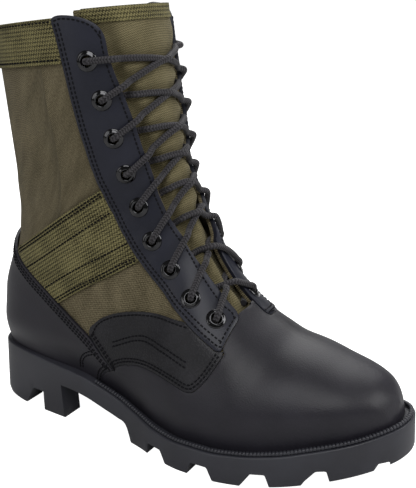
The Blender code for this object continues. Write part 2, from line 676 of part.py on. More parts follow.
def make_outsole(shop):
    """The moulded sole: its block, then the arch, the notches and the hollows."""
    share = heel_share()
    low = low_sole_ring()
    bevel = EDGE_ROUND + (HEEL_BEVEL - EDGE_ROUND) * share
    rings = [sole_ring(-EDGE_ROUND, ledge_height),
             sole_ring(0, lambda station: ledge_height(station) - EDGE_ROUND),
             low,
             sole_ring(HEEL_FLARE * share - bevel, tread_height)]
    count = len(low)
    faces = []
    for level in range(len(rings) - 1):
        for i in range(count):
            k = (i + 1) % count
            up, down = level * count, (level + 1) * count
            faces.append((up + i, up + k, down + k, down + i))
    for start in (0, (len(rings) - 1) * count):
        for i in range(SOLE_STATIONS - 1):
            strip = [i, i + 1, (count - i - 1) % count, (count - i) % count]
            faces.append(tuple(start + j for j in dict.fromkeys(strip)))
    outsole = shop.part("outsole", shop.mesh("outsole", np.concatenate(rings), faces), "sole_rubber")

    far = 2 * BALL_WIDTH
    arch = [(s * SOLE_LENGTH, h * HEEL_HEIGHT) for s, h in ARCH]
    arch = [(arch[0][0], -HEEL_HEIGHT)] + arch + [(arch[-1][0], -HEEL_HEIGHT)]
    cut(outsole, shop.prism("cut_arch", arch, -far, far))
    for number, row in enumerate([HEEL_NOTCH] + NOTCHES):
        depth = HEEL_LUG_DEPTH if number == 0 else FORE_LUG_DEPTH
        start, end, top_start, top_end, share = row
        floor = float(tread_height((start + end) / 2))
        outline = [(start * SOLE_LENGTH, floor), (top_start * SOLE_LENGTH, floor + depth * share),
                   (top_end * SOLE_LENGTH, floor + depth * share), (end * SOLE_LENGTH, floor)]
        outline = [(outline[0][0], -HEEL_HEIGHT)] + outline + [(outline[3][0], -HEEL_HEIGHT)]
        lateral, medial = sole_sides((start + end) / 2)
        reach = LUG_WIDTH + CHANNEL_OVERLAP
        for name, inner, outer in (("lateral", float(lateral[0]) + reach, -far),
                                   ("medial", float(medial[0]) - reach, far)):
            cut(outsole, shop.prism(f"cut_notch_{number}_{name}", outline, outer, inner))
    for number, (start, end) in enumerate(HEEL_HOLLOWS + HOLLOWS):
        depth = HEEL_LUG_DEPTH if number < len(HEEL_HOLLOWS) else FORE_LUG_DEPTH
        stations = np.linspace(start, end, 3)
        lateral, medial = sole_sides(stations)
        plan = [(s * SOLE_LENGTH, y + LUG_WIDTH) for s, y in zip(stations, lateral)]
        plan += [(s * SOLE_LENGTH, y - LUG_WIDTH) for s, y in zip(stations[::-1], medial[::-1])]
        top = float(tread_height((start + end) / 2)) + depth
        size = len(plan)
        points = [(x, y, z) for z in (-HEEL_HEIGHT, top) for x, y in plan]
        sides = [(i, (i + 1) % size, size + (i + 1) % size, size + i) for i in range(size)]
        name = f"cut_hollow_{number}"
        mesh = shop.mesh(name, points, [tuple(range(size)), tuple(range(2 * size - 1, size - 1, -1))] + sides)
        cut(outsole, shop.tool(name, mesh))


def make_welt(shop):
    """The ribbed strip on the ledge around the forefoot."""
    outer = sole_ring(-WELT_INSET, ledge_at_gap)
    inner = sole_ring(-(WELT_INSET + WELT_WIDTH), ledge_at_gap)
    first = int(np.searchsorted(sole_stations(), WELT_START))
    last = len(outer) - first
    rows = []
    for i in range(first, last + 1):
        for ring in (outer, inner):
            rows.append(ring[i])
            rows.append(ring[i] + np.array([0, 0, WELT_HEIGHT]))
    faces = [(0, 1, 3, 2)]
    for i in range(last - first):
        here, there = 4 * i, 4 * (i + 1)
        for a, b in ((0, 1), (1, 3), (3, 2), (2, 0)):
            faces.append((here + a, here + b, there + b, there + a))
    faces.append(tuple(4 * (last - first) + corner for corner in (0, 2, 3, 1)))
    shop.part("welt", shop.mesh("welt", rows, faces), "sole_rubber")


def ledge_at_gap(station):
    """Height just over the ledge."""
    return ledge_height(station) + SEAT_GAP


def frame_on(normal):
    """Two directions that lie in the plane of a normal."""
    first = np.cross(normal, [0, 0, 1])
    first /= np.linalg.norm(first)
    return first, np.cross(normal, first)


def make_eyelets(shop, tree):
    """The rings along both eyestays; returns their centres and normals on each side."""
    found = {}
    for name, side in (("lateral", -1), ("medial", 1)):
        line = side_line(EYELET_PLACES)
        if side > 0:
            line = medial_line(line)
        found[name] = []
        for number, (x, z) in enumerate(line, 1):
            centre, normal = side_hit(tree, x, z, side)
            first, second = frame_on(normal)
            turns = [2 * math.pi * i / EYELET_SIDES for i in range(EYELET_SIDES)]
            round_hits = []
            for turn in turns:
                spot = centre + EYELET_RADIUS * (math.cos(turn) * first + math.sin(turn) * second)
                round_hits.append(side_hit(tree, spot[0], spot[2], side))
            normal = normal + np.sum([hit[1] for hit in round_hits], axis=0)
            normal /= np.linalg.norm(normal)
            lift = max([0.0] + [float(np.dot(hit[0] - centre, normal)) for hit in round_hits])
            base = centre + (lift + SEAT_GAP) * normal
            first, second = frame_on(normal)
            profile = [(EYELET_HOLE, 0.0), (EYELET_RADIUS, 0.0),
                       (EYELET_RADIUS - EYELET_HEIGHT / 2, EYELET_HEIGHT), (EYELET_HOLE, EYELET_HEIGHT)]
            points = [base + height * normal + radius * (math.cos(t) * first + math.sin(t) * second)
                      for t in turns for radius, height in profile]
            size = len(profile)
            faces = []
            for i in range(EYELET_SIDES):
                k = (i + 1) % EYELET_SIDES
                for j in range(size):
                    m = (j + 1) % size
                    faces.append((size * i + j, size * i + m, size * k + m, size * k + j))
            title = f"eyelet_{name}_{number}"
            shop.part(title, shop.mesh(title, points, faces), "black_metal")
            found[name].append((base, normal))
    return found


def throat_margin(spot):
    """How far a place lies inside the opening of the throat, seen from the side."""
    line = side_line(THROAT_EDGE)
    if spot[1] > 0:
        line = medial_line(line)
    line = np.array(line)[::-1]
    slope = np.interp(spot[2], (line[1:, 1] + line[:-1, 1]) / 2, np.diff(line[:, 0]) / np.diff(line[:, 1]))
    return (spot[0] - np.interp(spot[2], line[:, 1], line[:, 0])) / math.hypot(1, slope)


def strand_path(start, goal, stay_tree, tongue_tree, over):
    """Middle line of one lace strand, from beside its eyelet to the far edge of the throat."""
    reach = LACE_RADIUS + LACE_CLEARANCE
    here, there = start[0], goal[0]
    outward = start[1] + goal[1]
    outward /= np.linalg.norm(outward)

    def drop(step, tree, lift=0.0):
        spot = here + step * (there - here) + outward * BALL_WIDTH
        place, normal, _, _ = tree.ray_cast(Vector(spot), Vector(-outward))
        normal = np.array(normal) * math.copysign(1, np.dot(normal, outward))
        return np.array(place) + lift * normal

    steps = np.linspace(0, 1, LACE_SAMPLES)
    spots = np.array([drop(step, stay_tree) for step in steps])
    along = np.concatenate([[0], np.cumsum(np.linalg.norm(np.diff(spots, axis=0), axis=1))])
    over_edge = along[[throat_margin(spot) > 0 for spot in spots]][0] + LACE_OVERHANG
    leave = min(EYELET_RADIUS + reach, over_edge - 1.5 * LACE_RADIUS)
    path = [drop(np.interp(leave, along, steps), stay_tree, reach),
            drop(np.interp(over_edge, along, steps), stay_tree, reach + LACE_CLEARANCE)]
    for low in np.linspace(reach, reach + LEATHER + WALL + 2 * LACE_RADIUS, LACE_LIFTS):
        free = [step for step in steps
                if throat_margin(drop(step, tongue_tree, low)) > reach + LACE_CLEARANCE]
        if len(free) > len(steps) / LACE_SPAN:
            break
    down = max(free[0], np.interp(over_edge + LACE_DESCENT * LACE_RADIUS, along, steps))
    for share in np.linspace(0, 1, LACE_POINTS):
        lift = low + over * math.exp(-((share - CROSSING_PLACE) / CROSSING_SPREAD) ** 2)
        path.append(drop(down + share * (free[-1] - down), tongue_tree, lift))
    return path


def cord_mesh(shop, name, path):
    """Round cord along a path, as a mesh."""
    curve = bpy.data.curves.new(name, "CURVE")
    curve.dimensions = "3D"
    curve.bevel_depth = LACE_RADIUS
    curve.bevel_resolution = 1
    curve.use_fill_caps = True
    spline = curve.splines.new("POLY")
    spline.points.add(len(path) - 1)
    for point, place in zip(spline.points, path):
        point.co = (*(place - shop.shift), 1.0)
    thing = bpy.data.objects.new(name, curve)
    bpy.context.scene.collection.objects.link(thing)
    bpy.context.view_layer.update()
    seen = thing.evaluated_get(bpy.context.evaluated_depsgraph_get())
    mesh = bpy.data.meshes.new_from_object(seen)
    bpy.data.objects.remove(thing, do_unlink=True)
    work = bmesh.new()
    work.from_mesh(mesh)
    bmesh.ops.remove_doubles(work, verts=work.verts, dist=MERGE_DISTANCE)
    bmesh.ops.recalc_face_normals(work, faces=work.faces)
    work.to_mesh(mesh)
    work.free()
    return mesh


def make_lace(shop, eyelets, stay_tree, tongue_tree):
    """The crossings of the lace over the tongue, each two strands joined where they meet."""
    for number in range(len(EYELET_PLACES) - 1):
        pairs = (("lateral", "medial", 0.0), ("medial", "lateral", 1.5 * LACE_RADIUS))
        meshes = []
        for start, goal, over in pairs:
            path = strand_path(eyelets[start][number + 1], eyelets[goal][number],
                               stay_tree, tongue_tree, over)
            meshes.append(cord_mesh(shop, f"strand_{number + 1}_{start}", path))
        title = f"lace_crossing_{number + 1}"
        crossing = shop.part(title, meshes[0], "lace_cord")
        combine(crossing, shop.tool(f"join_{title}", meshes[1]), "UNION")


def main():
    shop = Workshop()
    tools = upper_tools(shop)
    make_outsole(shop)
    make_welt(shop)
    make_insole(shop)
    make_upper(shop, tools)
    make_tongue(shop)
    stay_tree = surface_tree(SEAT_GAP + LEATHER)
    tongue_tree = surface_tree(-(WALL + SEAT_GAP))
    eyelets = make_eyelets(shop, stay_tree)
    make_lace(shop, eyelets, stay_tree, tongue_tree)


main()
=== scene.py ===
"""Looks of a right jungle boot: leather foot, nylon shaft, webbing, lace and lugged sole."""

import math

import bpy
import numpy as np
from mathutils import Matrix, Vector
from mathutils.bvhtree import BVHTree
from mathutils.kdtree import KDTree


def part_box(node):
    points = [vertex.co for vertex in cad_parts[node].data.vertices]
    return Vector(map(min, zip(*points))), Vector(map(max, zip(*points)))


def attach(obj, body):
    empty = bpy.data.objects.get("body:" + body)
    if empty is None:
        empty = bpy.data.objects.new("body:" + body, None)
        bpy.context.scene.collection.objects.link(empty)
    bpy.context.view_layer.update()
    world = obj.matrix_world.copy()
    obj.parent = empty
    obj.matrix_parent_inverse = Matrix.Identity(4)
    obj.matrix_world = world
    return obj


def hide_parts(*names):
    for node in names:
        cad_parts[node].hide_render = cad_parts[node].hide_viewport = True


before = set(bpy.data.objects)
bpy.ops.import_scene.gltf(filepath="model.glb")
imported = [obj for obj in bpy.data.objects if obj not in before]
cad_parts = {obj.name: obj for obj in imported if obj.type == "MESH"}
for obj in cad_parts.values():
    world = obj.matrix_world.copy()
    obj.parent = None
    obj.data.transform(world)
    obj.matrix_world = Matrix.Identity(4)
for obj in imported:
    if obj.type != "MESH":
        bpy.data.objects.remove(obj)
bpy.ops.object.select_all(action="DESELECT")
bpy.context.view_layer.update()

# Driving sizes of the boot, in metres
SOLE_LENGTH = 0.305
BALL_WIDTH = 0.108
HEEL_WIDTH = 0.068
SHAFT_HEIGHT = 0.270
HEEL_HEIGHT = 0.046
FOREPART_THICKNESS = 0.019
TOE_SPRING = 0.013

# Walls and gaps
SEAT_GAP = 0.0003
WALL = 0.0020
LEATHER = 0.0018
WEBBING = 0.0014
TONGUE_THICKNESS = 0.0024

# Sole details
EDGE_ROUND = 0.0012
NOTCH_ROUND = 0.0010
LUG_WIDTH = 0.017
HEEL_LUG_DEPTH = 0.0155
FORE_LUG_DEPTH = 0.0090
WELT_WIDTH = 0.0028
WELT_HEIGHT = 0.0024
WELT_INSET = 0.0010
WELT_START = 0.33
WELT_PITCH = 0.0022
HEEL_FLARE = 0.0035
HEEL_BEVEL = 0.0060
HEEL_BEVEL_HEIGHT = 0.0080
CHANNEL_OVERLAP = 0.0020

# Throat, eyelets and eyestays; a band and a foot line limit them over the instep
COLLAR_BAND = 0.0262
EYELET_RADIUS = 0.0057
EYELET_HOLE = 0.0030
EYELET_HEIGHT = 0.0013
TONGUE_REACH = 0.016
TONGUE_RISE = 0.003
TONGUE_DIP = 0.0034
TONGUE_BINDING = 0.0085
MEDIAL_LIFT = 0.0050
MEDIAL_FORWARD = 0.0030
BAND_LATERAL = 0.0136
BAND_MEDIAL = 0.0045
BAND_LENGTH = 0.0600
BAND_FOOT = (0.6720 * SOLE_LENGTH - 0.0030, 0.328 * SHAFT_HEIGHT + 0.0030)
FOOT_MEDIAL = 0.0080
FOOT_LINE = (0.663 * SOLE_LENGTH, 0.281 * SHAFT_HEIGHT)
FOOT_NORMAL = (0.995, -0.100)
FOOT_ROUND = 0.0050
STAY_RISE = 0.0008
SADDLE_RISE = 0.0003
HOLE_ROOM = 0.0006
RIM_ROOM = 0.0004
BINDING_INSET = 0.004
BINDING_RISE = 0.0012
BINDING_EXTRA = 0.0022
RING_WALL = 0.0004

# How far rims are drawn down, the tongue puffs out and the counter bulges
RIM_REACH = 0.0022
STAY_DROP = 0.0004
SADDLE_DROP = 0.0003
TONGUE_COVERED = 0.001
TONGUE_EASE = 0.007
TONGUE_CALM = 0.262
TONGUE_CALM_REACH = 0.010
TONGUE_PUFF = 0.0016
LACE_PRESS = 0.0024
LACE_PRESS_REACH = 0.0050
COUNTER_BULGE = 0.0007
COUNTER_REACH = 0.014
COUNTER_RISE = 0.020
CALM_REACH = 0.012

# Lace: its radius in the solids, that of the braided cord, and how it crosses the throat
LACE_RADIUS = 0.0018
CORD_RADIUS = 0.0020
LACE_PITCH = 0.0008
LACE_SIDES = 14
BRAID_PITCH = 0.0017
LACE_CLEARANCE = 0.0002
KNOT_SPACING = 0.0004
CROSSING_LIFT = 1.25
LACE_END = (0.004, 0.010)
EDGE_PASS = 0.0012
EDGE_REST = 0.0065
HIDDEN_PASS = 0.0020
HIDDEN_REST = 0.0075
CROSSING_SPREAD = 0.0052
STRAND_PITCH = 0.0028

# The upper's foot
HEEL_INSET = 0.0046
FORE_INSET = 0.0072
FOOT_BLEND = 0.028
FOOT_STATIONS = [0.0, 0.16, 0.28, 1.0]
TOE_START = 0.6

# Stitches
STITCH_PITCH = 0.0028
STITCH_LENGTH = 0.0023
STITCH_RADIUS = 0.00055
SEAM = 0.0020
SECOND_SEAM = 0.0042
THIRD_SEAM = 0.0064
FRONT_SEAM = 0.0021
FOOT_SEAM = 0.0022
RAY_PITCH = 0.0015
STITCH_INSET = 0.0009
STITCH_ROOM = 0.0004
STITCH_LIFT = 0.00005

# How finely the upper's surface is divided
FORM_ROWS = 250
FORM_SIDES = 216
SOLE_STATIONS = 150

# Sole outline: place along the sole, then how far each side lies from the axis,
# as shares of the heel's and of the ball's width
OUTLINE = [
    # station, lateral heel, lateral ball, medial heel, medial ball
    (0.000, 0.000, 0.000, 0.000, 0.000),
    (0.008, 0.220, 0.000, 0.240, 0.000),
    (0.026, 0.340, 0.000, 0.370, 0.000),
    (0.066, 0.430, 0.000, 0.460, 0.000),
    (0.131, 0.490, 0.000, 0.510, 0.000),
    (0.197, 0.525, 0.000, 0.500, 0.000),
    (0.262, 0.450, 0.065, 0.380, 0.060),
    (0.328, 0.310, 0.165, 0.240, 0.130),
    (0.393, 0.150, 0.280, 0.110, 0.212),
    (0.459, 0.040, 0.395, 0.030, 0.292),
    (0.525, 0.000, 0.485, 0.000, 0.362),
    (0.590, 0.000, 0.522, 0.000, 0.418),
    (0.656, 0.000, 0.528, 0.000, 0.456),
    (0.721, 0.000, 0.500, 0.000, 0.470),
    (0.787, 0.000, 0.438, 0.000, 0.458),
    (0.852, 0.000, 0.350, 0.000, 0.426),
    (0.918, 0.000, 0.238, 0.000, 0.368),
    (0.967, 0.000, 0.118, 0.000, 0.286),
    (0.991, 0.000, 0.024, 0.000, 0.206),
    (1.000, 0.000, -0.090, 0.000, 0.090),
]

# Height of the sole's ledge: station, share of heel height, of forepart thickness, of spring
LEDGE = [
    (0.000, 1.010, 0.000, 0.000),
    (0.098, 0.965, 0.000, 0.000),
    (0.197, 0.900, 0.000, 0.000),
    (0.295, 0.760, 0.150, 0.000),
    (0.344, 0.600, 0.330, 0.000),
    (0.393, 0.420, 0.530, 0.000),
    (0.443, 0.250, 0.720, 0.000),
    (0.492, 0.110, 0.880, 0.000),
    (0.541, 0.030, 0.970, 0.000),
    (0.590, 0.000, 1.000, 0.000),
    (0.656, 0.000, 1.000, 0.000),
    (0.721, 0.000, 1.020, 0.020),
    (0.787, 0.000, 1.030, 0.110),
    (0.852, 0.000, 1.060, 0.300),
    (0.918, 0.000, 1.080, 0.550),
    (1.000, 0.000, 1.100, 1.000),
]
SPRING_START = 0.705

# Underside of the arch: station, share of heel height
ARCH = [
    (0.227, 0.560), (0.265, 0.545), (0.310, 0.490), (0.355, 0.400), (0.395, 0.325),
    (0.422, 0.270), (0.436, 0.000),
]
# Notches between the lugs: start, end, start at top, end at top, share of the lug's depth
NOTCHES = [
    (0.490, 0.550, 0.498, 0.536, 1.00),
    (0.606, 0.668, 0.618, 0.656, 1.00),
    (0.722, 0.780, 0.744, 0.772, 1.00),
    (0.834, 0.884, 0.860, 0.878, 0.95),
    (0.952, 0.976, 0.956, 0.976, 0.40),
]
HEEL_NOTCH = (0.088, 0.158, 0.126, 0.162, 1.00)
HOLLOWS = [(0.460, 0.505), (0.540, 0.620), (0.655, 0.732), (0.770, 0.850), (0.880, 0.945)]
HEEL_HOLLOWS = [(0.045, 0.105), (0.150, 0.240)]

# Sections of the last, from the toe to the collar
SECTIONS = [
    # low station, low height, high station, high height, centre, half width,
    # widest share, low power, high power, ridge
    (0.9755, 0.100, 0.9690, 0.155, 0.080, 0.020, 0.42, 2.6, 2.2, 0.00),
    (0.9685, 0.096, 0.9570, 0.177, 0.080, 0.115, 0.42, 3.4, 2.3, 0.00),
    (0.9520, 0.090, 0.9370, 0.198, 0.074, 0.204, 0.40, 4.5, 2.3, 0.00),
    (0.9180, 0.080, 0.9030, 0.216, 0.062, 0.282, 0.38, 5.5, 2.3, 0.00),
    (0.8640, 0.066, 0.8510, 0.237, 0.038, 0.352, 0.34, 6.0, 2.2, 0.01),
    (0.7800, 0.052, 0.7730, 0.268, 0.004, 0.430, 0.31, 6.0, 2.1, 0.02),
    (0.6830, 0.044, 0.6950, 0.317, -0.032, 0.468, 0.28, 6.0, 2.0, 0.03),
    (0.5920, 0.046, 0.6360, 0.378, -0.044, 0.460, 0.27, 6.0, 1.9, 0.04),
    (0.4990, 0.060, 0.5940, 0.446, -0.030, 0.418, 0.28, 6.0, 1.9, 0.04),
    (0.3960, 0.088, 0.5680, 0.512, -0.010, 0.366, 0.30, 6.0, 1.9, 0.04),
    (0.2920, 0.114, 0.5510, 0.570, -0.006, 0.350, 0.32, 6.0, 1.9, 0.03),
    (0.1800, 0.132, 0.5410, 0.619, -0.002, 0.346, 0.36, 5.5, 2.0, 0.03),
    (0.0780, 0.140, 0.5330, 0.656, 0.000, 0.346, 0.40, 5.0, 2.0, 0.02),
    (0.0290, 0.195, 0.5260, 0.683, 0.000, 0.344, 0.43, 3.6, 2.0, 0.02),
    (0.0310, 0.300, 0.5220, 0.711, 0.000, 0.344, 0.47, 2.7, 2.0, 0.02),
    (0.0640, 0.415, 0.5180, 0.744, 0.002, 0.350, 0.50, 2.3, 2.1, 0.02),
    (0.0940, 0.537, 0.5110, 0.786, 0.004, 0.364, 0.50, 2.2, 2.1, 0.02),
    (0.1020, 0.650, 0.5040, 0.840, 0.006, 0.382, 0.50, 2.2, 2.1, 0.01),
    (0.1010, 0.800, 0.4960, 0.922, 0.008, 0.400, 0.50, 2.2, 2.2, 0.01),
    (0.0940, 1.040, 0.4860, 1.070, 0.009, 0.412, 0.50, 2.2, 2.2, 0.01),
]

# Lines drawn on the boot's side, as shares of the sole's length and the shaft's height
THROAT_EDGE = [
    (0.430, 1.120), (0.433, 1.000), (0.440, 0.915), (0.461, 0.810), (0.475, 0.727),
    (0.492, 0.634), (0.518, 0.556), (0.557, 0.485), (0.593, 0.426), (0.633, 0.372),
    (0.658, 0.347), (0.672, 0.328),
]
THROAT_FOOT = [(0.725, 0.393), (0.900, 0.600), (0.900, 1.120)]
EYESTAY_REAR = [
    (0.341, 0.996), (0.347, 0.960), (0.356, 0.889), (0.366, 0.796), (0.382, 0.674),
    (0.406, 0.578), (0.456, 0.474), (0.528, 0.385), (0.605, 0.318), (0.645, 0.287),
]
EYESTAY_FOOT = [(0.659, 0.281), (0.676, 0.284), (0.690, 0.296), (0.692, 0.310), (0.684, 0.321)]
EYESTAY_TOP = [(0.434, 0.966), (0.420, 0.992), (0.392, 1.008), (0.360, 1.013), (0.343, 1.008)]
SADDLE = [
    (0.338, 0.262), (0.360, 0.300), (0.397, 0.324), (0.440, 0.337), (0.485, 0.343),
    (0.540, 0.341), (0.600, 0.330), (0.662, 0.300), (0.669, 0.276), (0.653, 0.236),
    (0.633, 0.208), (0.612, 0.198), (0.564, 0.209), (0.508, 0.217), (0.446, 0.211),
    (0.407, 0.195), (0.396, 0.186),
]
COUNTER_EDGE = [
    (0.080, 0.484), (0.131, 0.444), (0.197, 0.383), (0.246, 0.337), (0.295, 0.291),
    (0.341, 0.252), (0.370, 0.222), (0.398, 0.188), (0.367, 0.167), (0.349, 0.144),
    (0.341, 0.110), (0.340, 0.000),
]
VAMP_OUTLINE = [
    (0.320, -0.300), (0.320, 0.190), (0.398, 0.190), (0.460, 0.225), (0.620, 0.235),
    (0.640, 0.262), (0.640, 0.420), (1.300, 0.420), (1.300, -0.300),
]
ANKLE_UPPER = [(0.100, 0.430), (0.187, 0.485), (0.305, 0.567), (0.400, 0.633)]
ANKLE_LOWER = [(0.500, 0.478), (0.449, 0.448), (0.377, 0.406), (0.295, 0.357), (0.220, 0.306)]
RIM = [(-0.200, 0.984), (0.100, 0.995), (0.345, 1.008), (0.500, 1.015), (0.700, 1.020)]
BAND_TOP = RIM[:3] + [(0.385, 1.010)]
TONGUE_FOOT = [(0.655, 0.300), (0.690, 0.296), (0.775, 0.410)]
SHAFT_CORNER = [
    (0.428, 0.930), (0.426, 0.962), (0.414, 0.984), (0.386, 0.999), (0.386, 1.120),
    (0.900, 1.120), (0.900, 0.930),
]
EYELET_PLACES = [
    (0.403, 0.915), (0.420, 0.830), (0.431, 0.745), (0.443, 0.663), (0.463, 0.582),
    (0.490, 0.505), (0.530, 0.440), (0.582, 0.381), (0.634, 0.338),
]

# Curves of the last and of the sole


def slopes(knots, values):
    """Slopes of a smooth curve through the values that never overshoots them."""
    step = np.diff(knots)
    rise = np.diff(values, axis=0) / step[:, None]
    inner = np.zeros_like(values)
    for i in range(1, len(knots) - 1):
        before, after = rise[i - 1], rise[i]
        weight_before = 2 * step[i] + step[i - 1]
        weight_after = step[i] + 2 * step[i - 1]
        same = before * after > 0
        with np.errstate(divide="ignore", invalid="ignore"):
            mean = (weight_before + weight_after) / (weight_before / before + weight_after / after)
        inner[i] = np.where(same, mean, 0.0)
    inner[0] = rise[0]
    inner[-1] = rise[-1]
    return inner


def smooth(knots, values, places):
    """Values of the smooth curve at the given places, clamped to its ends."""
    knots = np.asarray(knots, float)
    values = np.asarray(values, float)
    flat = values.ndim == 1
    if flat:
        values = values[:, None]
    places = np.clip(np.atleast_1d(np.asarray(places, float)), knots[0], knots[-1])
    slope = slopes(knots, values)
    index = np.clip(np.searchsorted(knots, places, side="right") - 1, 0, len(knots) - 2)
    span = (knots[index + 1] - knots[index])[:, None]
    t = (places[:, None] - knots[index][:, None]) / span
    start = (2 * t ** 3 - 3 * t ** 2 + 1) * values[index]
    start_slope = (t ** 3 - 2 * t ** 2 + t) * span * slope[index]
    end = (-2 * t ** 3 + 3 * t ** 2) * values[index + 1]
    end_slope = (t ** 3 - t ** 2) * span * slope[index + 1]
    result = start + start_slope + end + end_slope
    return result[:, 0] if flat else result


def eased(share):
    """Soft step between 0 and 1."""
    return share * share * (3 - 2 * share)


def run_along(points):
    """Way walked along a line up to each of its points."""
    return np.concatenate([[0], np.cumsum(np.linalg.norm(np.diff(points, axis=0), axis=1))])


def at_places(picks, run, values):
    """Values of a line at places along it."""
    return np.stack([np.interp(picks, run, column) for column in values.T], 1)


def round_place(station):
    """Angle along the sole in which its round ends are evenly spread."""
    return np.arccos(np.clip(1 - 2 * np.asarray(station, float), -1, 1)) / math.pi


def sole_sides(station):
    """Y of the lateral and of the medial edge at a station of the sole."""
    table = np.array(OUTLINE)
    lateral = table[:, 1] * HEEL_WIDTH + table[:, 2] * BALL_WIDTH
    medial = table[:, 3] * HEEL_WIDTH + table[:, 4] * BALL_WIDTH
    edges = smooth(round_place(table[:, 0]), np.stack([-lateral, medial], 1), round_place(station))
    return edges[:, 0], edges[:, 1]


def ledge_height(station):
    table = np.array(LEDGE)
    height = table[:, 1] * HEEL_HEIGHT + table[:, 2] * FOREPART_THICKNESS + table[:, 3] * TOE_SPRING
    return smooth(table[:, 0], height, station)


def tread_height(station):
    past = np.clip((np.asarray(station, float) - SPRING_START) / (1 - SPRING_START), 0, 1)
    return TOE_SPRING * past ** 2


def section_tracks(places):
    """Sections of the last at places between 0, the toe, and 1, the collar."""
    table = np.array(SECTIONS)
    sizes = np.array([SOLE_LENGTH, SHAFT_HEIGHT, SOLE_LENGTH, SHAFT_HEIGHT, BALL_WIDTH,
                      BALL_WIDTH, 1, 1, 1, BALL_WIDTH])
    track = table * sizes
    middle = (track[:, 0:2] + track[:, 2:4]) / 2
    step = np.maximum(np.linalg.norm(np.diff(middle, axis=0), axis=1), SOLE_LENGTH / 25)
    along = np.concatenate([[0], np.cumsum(step)])
    return smooth(along / along[-1], track, places)


def keep_on_ledge(points):
    """Draw the foot of the last in, so that it stands inside the sole's edge."""
    station = points[..., 0].ravel() / SOLE_LENGTH
    toe = np.clip((station - TOE_START) / (1 - TOE_START), 0, 1)
    lateral, medial = sole_sides(station + toe * FORE_INSET / SOLE_LENGTH)
    side = points[..., 1].ravel()
    inset = smooth(FOOT_STATIONS, [HEEL_INSET, HEEL_INSET, FORE_INSET, FORE_INSET], station)
    limit = np.where(side < 0, -lateral, medial) - inset * (1 - toe ** 4)
    limit = np.maximum(limit, SEAT_GAP)
    wide = np.maximum(np.abs(side), 1e-6) * 1.04
    held = (wide ** -9 + limit ** -9) ** (-1 / 9) * np.sign(side)
    rise = np.clip((points[..., 2].ravel() - ledge_height(station)) / FOOT_BLEND, 0, 1)
    hold = 1 - eased(rise)
    points[..., 1] = (side + (held - side) * hold).reshape(points.shape[:-1])
    return points


def last_points(places, angles):
    """Points on the outside of the upper's wall; the angle starts at the front."""
    rows = section_tracks(places)
    low_x, low_z, high_x, high_z, centre, half, widest, low_power, high_power, ridge = rows.T
    sine, cosine = np.cos(angles), -np.sin(angles)
    power = np.where(sine >= 0, high_power, low_power)
    across = np.sign(cosine) * np.abs(cosine) ** (2 / power)
    reach = np.abs(sine) ** (2 / power)
    share = np.where(sine >= 0, widest + (1 - widest) * reach, widest - widest * reach)
    points = np.stack([low_x + (high_x - low_x) * share,
                       centre + half * across + ridge * share,
                       low_z + (high_z - low_z) * share], axis=1)
    return keep_on_ledge(points)


def last_normals(places, angles):
    """Outward normals of the last, from small steps along it and around it."""
    step = 0.002
    along = last_points(places + step, angles) - last_points(places - step, angles)
    around = last_points(places, angles + step * 4) - last_points(places, angles - step * 4)
    normals = np.cross(along, around)
    return normals / np.maximum(np.linalg.norm(normals, axis=1, keepdims=True), 1e-12)


def side_line(shares):
    return [(x * SOLE_LENGTH, z * SHAFT_HEIGHT) for x, z in shares]


def moved(line, forward, up):
    return [(x + forward, z + up) for x, z in line]


def spline(points, per):
    """Smooth curve through all but the outermost of the points."""
    result = []
    for a, b, c, d in zip(points, points[1:], points[2:], points[3:]):
        for t in np.arange(per) / per:
            result.append(0.5 * (2 * b + (c - a) * t + (2 * a - 5 * b + 4 * c - d) * t ** 2
                                 + (3 * b - a - 3 * c + d) * t ** 3))
    return result


def flowing(line, per=8, closed=False):
    """Smooth line through the points of a drawn one."""
    points = np.array(line, float)
    if closed:
        return np.array(spline(np.vstack([points[-2:], points, points[:1]]), per))
    padded = np.vstack([2 * points[0] - points[1], points, 2 * points[-1] - points[-2]])
    return np.array(spline(padded, per) + [points[-1]])


# Place of the boot's heel in the frame: the sole's toe and its lateral edge are shared
sole_low, sole_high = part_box("outsole")
LATERAL_EDGE = float(sole_sides(np.linspace(0, 1, 400))[0].min())
SHIFT = np.array([SOLE_LENGTH - sole_high[0], LATERAL_EDGE - sole_low[1], 0.0])


def to_frame(points):
    return np.asarray(points, float) - SHIFT


# Regions of the upper, as distances that are negative inside


def outline_distance(outline, x, z):
    """Distance to a closed outline in the side view, negative inside it."""
    start = np.asarray(outline, float)
    end = np.roll(start, -1, axis=0)
    result = np.empty(len(x))
    for first in range(0, len(x), 20000):
        px, pz = x[first:first + 20000, None], z[first:first + 20000, None]
        edge = end - start
        size = np.maximum((edge ** 2).sum(1), 1e-14)
        t = np.clip(((px - start[:, 0]) * edge[:, 0] + (pz - start[:, 1]) * edge[:, 1]) / size, 0, 1)
        near = np.hypot(px - start[:, 0] - t * edge[:, 0], pz - start[:, 1] - t * edge[:, 1]).min(1)
        span = np.where(np.abs(edge[:, 1]) < 1e-12, 1e-12, edge[:, 1])
        crosses = (start[:, 1] > pz) != (end[:, 1] > pz)
        crosses &= px < start[:, 0] + (pz - start[:, 1]) / span * edge[:, 0]
        inside = crosses.sum(1) % 2 == 1
        result[first:first + 20000] = np.where(inside, -near, near)
    return result


